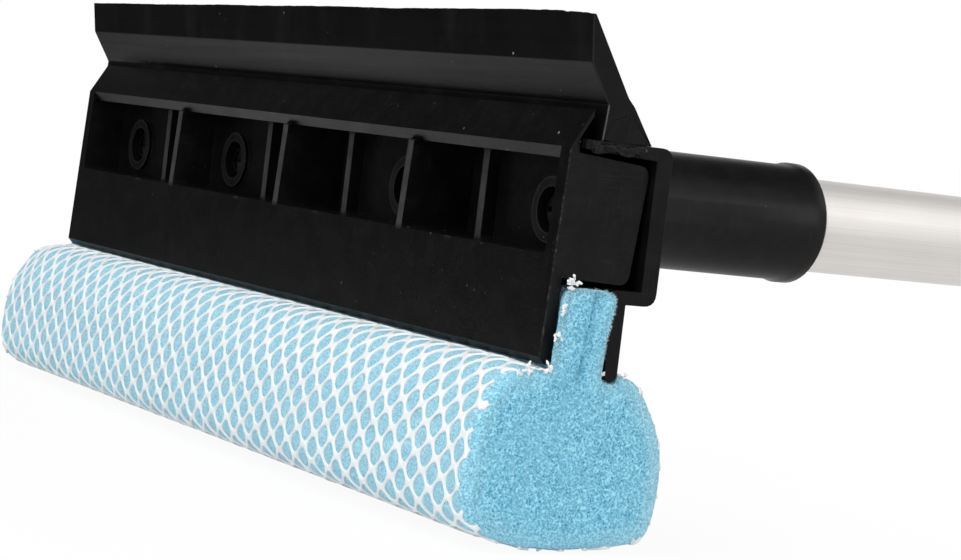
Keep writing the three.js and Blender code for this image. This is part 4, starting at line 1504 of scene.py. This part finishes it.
@dataclass
class NetSleeve:
    """The white net stretched round the sponge: staggered meshes with knots, cut ragged at the near end."""

    finish: NetThread
    pitch: float = 6.22  # along the head, in millimetres
    row: float = 2.55  # round the sponge
    shear: float = -0.24
    hole: tuple[float, float] = (1.80, 1.93)
    squareness: float = 1.72
    height: float = 0.34
    near: float = 99.6
    far: float = -103.6
    sheet_width: float = 0.2035
    woven_share: float = 0.62  # how much of the flat sheet is strand
    path_keys: tuple[int, int] = (0, 21)
    start: Span = (-17.6, -24.66)  # where the net comes out under the front jaw
    free_start: Span = (-18.3, -24.5)
    half_steps: int = 26  # meshes to either side of the head's middle
    profile: tuple = (  # a strand's half section: the share from hole to middle, and the height
        (1.0, 1.0), (0.55, 0.96), (0.15, 0.7), (0.0, 0.25), (0.08, -0.35), (1.0, -0.35),
    )
    foam: Sponge = field(init=False)
    path: np.ndarray = field(init=False)
    free_path: np.ndarray = field(init=False)
    away: np.ndarray = field(init=False)
    run: np.ndarray = field(init=False)

    def follow(self, sponge: Sponge) -> None:
        """Lays out the way round the foam that the net takes.

        Args:
            sponge: The foam that it lies on.
        """
        self.foam = sponge
        first, last = self.path_keys
        keys = np.array(sponge.held)[first : last + 1]
        keys[0] = self.start
        free_keys = np.array(sponge.free)[first : last + 1]
        free_keys[0] = self.free_start
        self.path = through_points(keys, 24, False)
        self.free_path = through_points(free_keys, 24, False)
        run = np.gradient(self.path, axis=0)
        run /= np.linalg.norm(run, axis=1)[:, None]
        self.away = np.column_stack([run[:, 1], -run[:, 0]])
        step = np.linalg.norm(np.diff(self.path, axis=0), axis=1)
        self.run = np.concatenate([[0.0], np.cumsum(step)])

    @property
    def length(self) -> float:
        """The way round the foam, in millimetres."""
        return float(self.run[-1])

    def cell_of(self, x: np.ndarray, around: np.ndarray) -> np.ndarray:
        """Measures how far places lie from the middle of their mesh.

        Args:
            x: Places along the head.
            around: Places along the way round the foam.

        Returns:
            0 at a hole's middle, 1 at its edge, more on the strands.
        """
        level = x - self.shear * around
        best = np.full(np.shape(around), np.inf)
        base = np.floor(around / self.row).astype(int)
        for step in (-1, 0, 1, 2):
            row = base + step
            shift = level - (row % 2) * self.pitch / 2
            across = shift - np.round(shift / self.pitch) * self.pitch
            down = around - row * self.row
            reach = np.abs(across / self.hole[0]) ** self.squareness
            reach = reach + np.abs(down / self.hole[1]) ** self.squareness
            best = np.minimum(best, reach ** (1.0 / self.squareness))
        return best

    def pillows(self, x: float, outline: np.ndarray) -> np.ndarray:
        """Gives how far the foam swells in the net's holes at one place along the head.

        Args:
            x: The place along the head.
            outline: The foam's outline there.

        Returns:
            The swelling at each point of the outline, in millimetres.
        """
        gap = ((outline[:, None, :] - self.path[None, :, :]) ** 2).sum(axis=2)
        nearest = self.run[gap.argmin(axis=1)]
        covered = smooth_step(1.2, 0.2, np.sqrt(gap.min(axis=1)))
        depth = self.cell_of(np.full(len(outline), x), nearest)
        inside = smooth_step(1.15, 0.35, depth)
        under = smooth_step(self.near + 0.3, self.near - 1.2, x)
        return covered * (0.12 * inside * under + 0.04 * (1.0 - under))

    def place(self, x: np.ndarray, around: np.ndarray, lift: np.ndarray) -> np.ndarray:
        """Lays points of the flat net on the foam.

        Args:
            x: Places along the head.
            around: Places along the way round.
            lift: Heights over the foam.

        Returns:
            Rows of X, Y, Z in millimetres.
        """
        opened = self.foam.opened(x)
        heights = np.interp(around, self.run, self.path[:, 1])
        lift = lift - self.foam.drawn_in(x) - self.foam.slumped(x, heights)
        sides = []
        for axis in range(2):
            held = np.interp(around, self.run, self.path[:, axis])
            free = np.interp(around, self.run, self.free_path[:, axis])
            out = np.interp(around, self.run, self.away[:, axis])
            sides.append(held * (1.0 - opened) + free * opened + lift * out)
        return np.column_stack([x, *sides])

    def mesh_outline(self) -> np.ndarray:
        """Draws the centre lines round one mesh, from the cells of the staggered lattice.

        Returns:
            Rows of place along the head and round the foam, from the mesh's middle.
        """
        half = self.pitch / 2
        side = (half * half + self.row * self.row) / 2
        flat = (side - self.row * self.row) / half
        point = side / half
        corners = [
            (flat, self.row), (-flat, self.row), (-point, 0.0),
            (-flat, -self.row), (flat, -self.row), (point, 0.0),
        ]
        steps = (2, 4, 4, 2, 4, 4)
        rows = []
        for i, count in enumerate(steps):
            here, following = np.array(corners[i]), np.array(corners[(i + 1) % 6])
            rows += [here + (following - here) * k / count for k in range(count)]
        return np.array(rows)

    def hole_outline(self, centre_line: np.ndarray) -> np.ndarray:
        """Draws a mesh's hole, point for point beside its centre line.

        Args:
            centre_line: The lines round the mesh.

        Returns:
            The hole's outline.
        """
        scaled = np.abs(centre_line / self.hole) ** self.squareness
        reach = scaled.sum(axis=1) ** (1.0 / self.squareness)
        return centre_line / reach[:, None]

    def ragged(self, around: np.ndarray, noise: SmoothNoise) -> np.ndarray:
        """Gives the place along the head where the net is cut.

        Args:
            around: Places round the foam.
            noise: The cut's unevenness.

        Returns:
            One place along the head for each.
        """
        spot = np.column_stack([around, np.zeros_like(around), np.zeros_like(around)])
        return self.near + 0.5 * noise.at(spot, 4.0) + 0.7 * noise.at(spot, 1.3)

    def flat_net(self, noise: SmoothNoise) -> tuple[np.ndarray, list]:
        """Draws the strands on the flat sheet, mesh by mesh.

        Args:
            noise: The unevenness of the cut ends.

        Returns:
            Rows of place along the head, place round the foam and height, and the faces.
        """
        centre = self.mesh_outline()
        hole = self.hole_outline(centre)
        count = len(centre)
        index, coords, faces = {}, [], []

        def number(x: float, around: float, lift: float) -> int:
            """Finds or adds a point of the flat net.

            Args:
                x: Its place along the head.
                around: Its place round the foam.
                lift: Its height over the foam.

            Returns:
                The point's number.
            """
            key = (round(x * 500), round(around * 500), round(lift * 100))
            if key not in index:
                index[key] = len(coords)
                coords.append((x, around, lift))
            return index[key]

        for row in range(0, int(self.length / self.row) + 2):
            for step in range(-self.half_steps, self.half_steps + 1):
                middle_x = (step + 0.5 * (row % 2)) * self.pitch + self.shear * row * self.row
                if not self.far - 4.0 < middle_x < self.near + 4.0:
                    continue
                line = centre + (0.0, row * self.row)
                line_x = centre[:, 0] + self.shear * centre[:, 1] + middle_x
                hole_x = hole[:, 0] + self.shear * hole[:, 1] + middle_x
                hole_around = hole[:, 1] + row * self.row
                kept = self.kept_strands(line_x, line[:, 1], noise)
                if not kept.any():
                    continue
                numbers = []
                for k in range(count):
                    stack = []
                    for out, lift in self.profile:
                        x = hole_x[k] + (line_x[k] - hole_x[k]) * out
                        around = hole_around[k] + (line[k, 1] - hole_around[k]) * out
                        stack.append(number(x, around, lift * self.height))
                    numbers.append(stack)
                faces += self.strand_faces(numbers, kept)
        used = np.unique(np.concatenate([np.array(face) for face in faces]))
        renumber = np.zeros(len(coords), int)
        renumber[used] = np.arange(len(used))
        faces = [[int(renumber[i]) for i in face] for face in faces]
        return np.array(coords)[used], faces

    def kept_strands(self, line_x: np.ndarray, around: np.ndarray, noise: SmoothNoise) -> np.ndarray:
        """Tells which strands of a mesh lie between the net's cut ends and edges.

        Args:
            line_x: Places along the head of the mesh's centre lines.
            around: Their places round the foam.
            noise: The unevenness of the cut ends.

        Returns:
            True for each strand that stays.
        """
        half_x = (line_x + np.roll(line_x, -1)) / 2
        half_around = (around + np.roll(around, -1)) / 2
        far_spot = np.column_stack([half_around, np.full(len(half_x), 9.0), np.zeros(len(half_x))])
        far_cut = self.far + 0.6 * noise.at(far_spot, 3.0)
        kept = (half_x < self.ragged(half_around, noise)) & (half_x > far_cut)
        return kept & (half_around > 0.0) & (half_around < self.length)

    @staticmethod
    def strand_faces(numbers: list, kept: np.ndarray) -> list:
        """Joins the points round one mesh into strands, and closes the cut ones.

        Args:
            numbers: For each point of the mesh's outline, its points across the strand.
            kept: Which strands stay.

        Returns:
            The faces.
        """
        count = len(numbers)
        faces = []
        for k in range(count):
            if not kept[k]:
                continue
            here, following = numbers[k], numbers[(k + 1) % count]
            for p in range(len(here) - 1):
                faces.append([here[p], here[p + 1], following[p + 1], following[p]])
            if not kept[k - 1]:
                faces.append(list(here[::-1]))
            if not kept[(k + 1) % count]:
                faces.append(list(following))
        return faces

    def build(self, sponge: bpy.types.Object) -> None:
        """Builds, dresses and places the net.

        Args:
            sponge: The foam that it is stretched over; not used.
        """
        noise = SmoothNoise(53)
        flat, faces = self.flat_net(noise)
        spot = np.column_stack([flat[:, 0], flat[:, 1], np.zeros(len(flat))])
        shift_x = 0.22 * noise.at(spot, 7.0) + 0.10 * noise.at(spot + 40.0, 1.9)
        shift_around = 0.18 * noise.at(spot + 17.0, 7.0) + 0.10 * noise.at(spot + 71.0, 1.9)
        lift = flat[:, 2] * (1.0 + 0.25 * noise.at(spot + 5.0, 1.5))
        around = np.clip(flat[:, 1] + shift_around, 0.0, self.length)
        points = self.place(flat[:, 0] + shift_x, around, lift)
        scrap_points, scrap_faces = self.scraps(len(points))
        piece = make_piece("net_sleeve", np.concatenate([points, scrap_points]), faces + scrap_faces)
        dress(piece, self.finish.make())
        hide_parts("net")
        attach(piece, Body.SPONGE.value)

    def scraps(self, first: int) -> tuple[np.ndarray, list]:
        """Draws the frayed ends of the net that stick out beside the neck and on the front shoulder.

        Args:
            first: The number of the first new point.

        Returns:
            The scraps' points and faces.
        """
        draws = np.random.default_rng(97)
        spots = (
            (-16.2, -10.4, 1.15, 6), (-16.7, -11.7, 0.7, 4), (-17.2, -14.1, 0.7, 5), (-17.6, -15.3, 0.5, 3),
            (-17.6, -18.8, 0.9, 7), (-18.2, -19.4, 0.6, 3), (-18.7, -24.0, 0.9, 6), (-19.8, -24.6, 0.6, 4),
            (-22.6, -24.4, 0.8, 5), (-24.2, -24.7, 0.8, 5), (-8.9, -24.6, 0.5, 4), (-4.4, -24.5, 0.5, 4),
        )
        points, faces = [], []
        sides = 6
        for y, z, size, strands in spots:
            for _ in range(strands):
                foot = np.array([NEAR_END + 0.25 + 0.4 * draws.random(), y, z])
                foot[1:] += draws.normal(0.0, 0.32 * size, 2)
                aim = np.array([draws.normal(0.35, 0.4), draws.normal(-0.1, 0.6), draws.normal(0.25, 0.6)])
                aim /= np.linalg.norm(aim)
                bend = draws.normal(0.0, 0.5, 3)
                reach = size * (0.6 + 0.7 * draws.random())
                thick = 0.16 + 0.16 * draws.random()
                rows = 6
                start = first + len(points)
                for row in range(rows):
                    part = row / (rows - 1)
                    spot = foot + (aim * part + bend * part * part * 0.5) * reach
                    run = aim + bend * part
                    run /= np.linalg.norm(run)
                    side = np.cross(run, (0.31, 0.52, 0.79))
                    side /= np.linalg.norm(side)
                    other = np.cross(run, side)
                    girth = thick * (0.55 + 0.45 * math.sin(math.pi * (0.15 + 0.75 * part)))
                    girth *= 1.0 + 0.35 * draws.normal() * 0.5
                    for k in range(sides):
                        turn = 2.0 * math.pi * k / sides
                        points.append(spot + (side * math.cos(turn) + other * math.sin(turn)) * girth)
                for row in range(rows - 1):
                    for k in range(sides):
                        a = start + row * sides + k
                        b = start + row * sides + (k + 1) % sides
                        faces.append([a, b, b + sides, a + sides])
                faces.append([start + k for k in range(sides)][::-1])
                faces.append([start + (rows - 1) * sides + k for k in range(sides)])
        return np.array(points), faces


@dataclass
class Handle:
    """The pole socket, the pole, the hand grip and the hang cap."""

    socket: MouldedPlastic
    tube: DrawnAluminium
    grip: GripRubber
    edges: SoftEdges

    def build(self) -> None:
        """Dresses the handle's CAD nodes."""
        nodes = frame["nodes"]
        plastic = self.socket.make()
        for name, material in (
            ("pole_socket", plastic),
            ("hang_cap", plastic),
            ("pole", self.tube.make()),
            ("hand_grip", self.grip.make()),
        ):
            self.edges.shade(nodes[name])
            dress(nodes[name], material)


@dataclass
class Lamp:
    """One soft rectangular lamp."""

    name: str
    place: tuple[float, float, float]
    aim: tuple[float, float, float]
    size: tuple[float, float]
    power: float

    def build(self) -> None:
        """Hangs the lamp and points it."""
        light = bpy.data.lights.new(self.name, "AREA")
        light.shape = "RECTANGLE"
        light.size, light.size_y = self.size
        light.energy = self.power
        lamp = bpy.data.objects.new(self.name, light)
        lamp.location = self.place
        lamp.rotation_euler = (Vector(self.aim) - Vector(self.place)).to_track_quat("-Z", "Y").to_euler()
        bpy.context.scene.collection.objects.link(lamp)


@dataclass
class Studio:
    """Pale floor, white backdrop all round, soft lamps and the camera."""

    eye: tuple[float, float, float] = (0.42469, -0.217195, 0.06299)
    right: tuple[float, float, float] = (0.5112, 0.8512, 0.1184)
    forward: tuple[float, float, float] = (-0.8526, 0.5197, -0.0550)
    lens: float = 93.65
    floor_size: float = 9.0
    backdrop_away: float = 4.2
    backdrop_height: float = 3.6
    white_share: float = 0.94  # of the floor that the eye sees close to the head
    white_reach: Span = (0.025, 0.14)  # over which that rises to 1
    pool_reach: Span = (0.09, 0.28)  # over which the floor's shine on the head fades
    pool: Span = (1.0, 0.08)
    half_head: float = 0.1
    paper: Colour = (0.88, 0.88, 0.88)
    sky: float = 0.12
    lamps: tuple = (
        Lamp("key", (0.3, -0.75, 1.4), (0.0, 0.0, 0.03), (1.1, 1.1), 17.0),
        Lamp("side", (1.3, 0.05, 0.5), (0.1, 0.0, 0.03), (0.8, 0.8), 6.0),
        Lamp("back_top", (0.55, 1.35, 1.25), (0.0, 0.15, 0.04), (2.0, 1.1), 8.0),
        Lamp("front", (0.35, -1.15, 0.3), (0.0, 0.0, 0.02), (0.9, 0.5), 4.6),
    )

    @staticmethod
    def seen_white(graph: NodeGraph, share: Value, gloss: Value, behind: Socket) -> None:
        """Makes a surface white to the eye and to gloss, and leaves it as it is to soft light.

        Args:
            graph: The material's nodes.
            share: How much of what the eye sees is plain white.
            gloss: How white it is in what shines back from gloss or through glass.
            behind: The shader for the rest.
        """
        path = graph.tree.nodes.new("ShaderNodeLightPath")
        mirrored = graph.most(path.outputs["Is Glossy Ray"], path.outputs["Is Transmission Ray"])
        eye = graph.times(path.outputs["Is Camera Ray"], share)
        glow = graph.add("ShaderNodeEmission", {"Color": (1.0, 1.0, 1.0), "Strength": 1.0})
        shine = graph.add("ShaderNodeEmission", {"Color": (1.0, 1.0, 1.0), "Strength": gloss})
        mix = graph.add("ShaderNodeMixShader", {0: eye, 1: behind, 2: glow})
        mix = graph.add("ShaderNodeMixShader", {0: mirrored, 1: mix, 2: shine})
        graph.tree.links.new(mix, graph.output.inputs[0])

    def floor(self) -> None:
        """Lays the pale floor that the sponge rests on: plain white but for the shadow round the head."""
        half = self.floor_size
        corners = [(-half, -half, 0.0), (half, -half, 0.0), (half, half, 0.0), (-half, half, 0.0)]
        mesh = bpy.data.meshes.new("floor")
        mesh.from_pydata(corners, [], [[0, 1, 2, 3]])
        floor = bpy.data.objects.new("floor", mesh)
        bpy.context.scene.collection.objects.link(floor)
        graph = NodeGraph("pale_floor")
        place = graph.place()
        along, across = graph.axis(place, "X"), graph.axis(place, "Y")
        past = graph.most(graph.minus(graph.unsigned(along), self.half_head), 0.0)
        squares = graph.plus(graph.arithmetic("POWER", past, 2.0), graph.times(across, across))
        away = graph.arithmetic("POWER", squares, 0.5)
        share = graph.span(away, *self.white_reach, (self.white_share, 1.0))
        pool = graph.span(away, *self.pool_reach, self.pool)
        gloss = graph.most(pool, graph.span(across, -0.02, 0.14))
        paper = graph.add("ShaderNodeBsdfDiffuse", {"Color": self.paper})
        self.seen_white(graph, share, gloss, paper)
        dress(floor, graph.material)

    def backdrop(self) -> None:
        """Hangs a white backdrop round the object, which shines less on the side towards the eye."""
        steps = 64
        points, faces = [], []
        for i in range(steps):
            angle = 2.0 * math.pi * i / steps
            x, y = self.backdrop_away * math.cos(angle), self.backdrop_away * math.sin(angle)
            points += [(x, y, -0.01), (x, y, self.backdrop_height)]
        for i in range(steps):
            k = (i + 1) % steps
            faces.append([2 * i, 2 * i + 1, 2 * k + 1, 2 * k])
        mesh = bpy.data.meshes.new("backdrop")
        mesh.from_pydata(points, [], faces)
        backdrop = bpy.data.objects.new("backdrop", mesh)
        bpy.context.scene.collection.objects.link(backdrop)
        graph = NodeGraph("white_backdrop")
        gloss = graph.span(graph.axis(graph.place(), "Y"), -0.6, 2.0, (0.05, 1.0))
        self.seen_white(graph, 1.0, gloss, graph.add("ShaderNodeBsdfTransparent", {}))
        dress(backdrop, graph.material)

    def world(self) -> None:
        """Sets the even light of the room."""
        world = bpy.data.worlds.new("room")
        bpy.context.scene.world = world
        world.use_nodes = True
        glow = world.node_tree.nodes["Background"]
        glow.inputs["Color"].default_value = (1.0, 1.0, 1.0, 1.0)
        glow.inputs["Strength"].default_value = self.sky

    def camera(self) -> None:
        """Sets the camera where the photograph was taken from."""
        data = bpy.data.cameras.new("camera")
        data.sensor_fit = "HORIZONTAL"
        data.sensor_width = 36.0
        data.lens = self.lens
        data.clip_start = 0.01
        data.clip_end = 50.0
        camera = bpy.data.objects.new("camera", data)
        right = Vector(self.right).normalized()
        back = -Vector(self.forward).normalized()
        up = back.cross(right).normalized()
        right = up.cross(back).normalized()
        turn = Matrix((right, up, back)).transposed().to_4x4()
        camera.matrix_world = Matrix.Translation(self.eye) @ turn
        bpy.context.scene.collection.objects.link(camera)
        bpy.context.scene.camera = camera

    def build(self) -> None:
        """Sets up the whole studio."""
        self.camera()
        self.floor()
        self.backdrop()
        self.world()
        for lamp in self.lamps:
            lamp.build()
        bpy.context.scene.view_settings.view_transform = "Standard"


def main() -> None:
    """Builds the squeegee's looks, piece by piece."""
    logging.basicConfig(level=logging.INFO, format="%(message)s")
    Studio().build()
    edges = SoftEdges()
    channel_plastic = MouldedPlastic(
        name="channel_plastic",
        dark=(0.0030, 0.0030, 0.0032),
        light=(0.0052, 0.0052, 0.0055),
        roughness=(0.28, 0.38),
        gloss=0.10,
        grain=2400.0,
        grain_depth=0.00005,
        dust=0.05,
    )
    frame_plastic = MouldedPlastic(
        name="frame_plastic",
        dark=(0.0030, 0.0029, 0.0031),
        light=(0.0054, 0.0051, 0.0053),
        roughness=(0.27, 0.36),
        gloss=0.11,
        grain=2200.0,
        grain_depth=0.00005,
        dust=0.22,
        bays=FrameBays(),
    )
    socket_plastic = MouldedPlastic(
        name="socket_plastic",
        dark=(0.0026, 0.0024, 0.0026),
        light=(0.0040, 0.0037, 0.0039),
        roughness=(0.27, 0.34),
        gloss=0.18,
        grain=3000.0,
        grain_depth=0.00004,
        dust=0.012,
    )
    steel = ScrewSteel(name="screw_steel", light=(0.060, 0.060, 0.063), dark=(0.025, 0.025, 0.027))
    rubber = WipingRubber(
        name="blade_rubber", dark=(0.0028, 0.0027, 0.0028), bloom=(0.0050, 0.0048, 0.0050), gloss=0.10
    )
    blue_foam = SpongeFoam(
        name="blue_foam", body=(0.295, 0.725, 0.91), pore_shade=(0.048, 0.31, 0.52), rim=(0.57, 0.84, 0.94)
    )
    thread = NetThread(name="white_net", white=(0.91, 0.925, 0.93), shade=(0.83, 0.865, 0.885))
    tube = DrawnAluminium(name="drawn_aluminium", light=(0.77, 0.74, 0.715), dark=(0.67, 0.645, 0.625))
    grip = GripRubber(name="grip_rubber", dark=(0.0085, 0.0085, 0.0088), light=(0.016, 0.016, 0.0165))
    ClampHead(channel_plastic, frame_plastic, steel, edges).build()
    Blade(rubber).build()
    sponge = Sponge(blue_foam)
    net = NetSleeve(thread)
    net.follow(sponge)
    foam = sponge.build(net)
    net.build(foam)
    Handle(socket_plastic, tube, grip, edges).build()


if __name__ == "__main__":
    main()
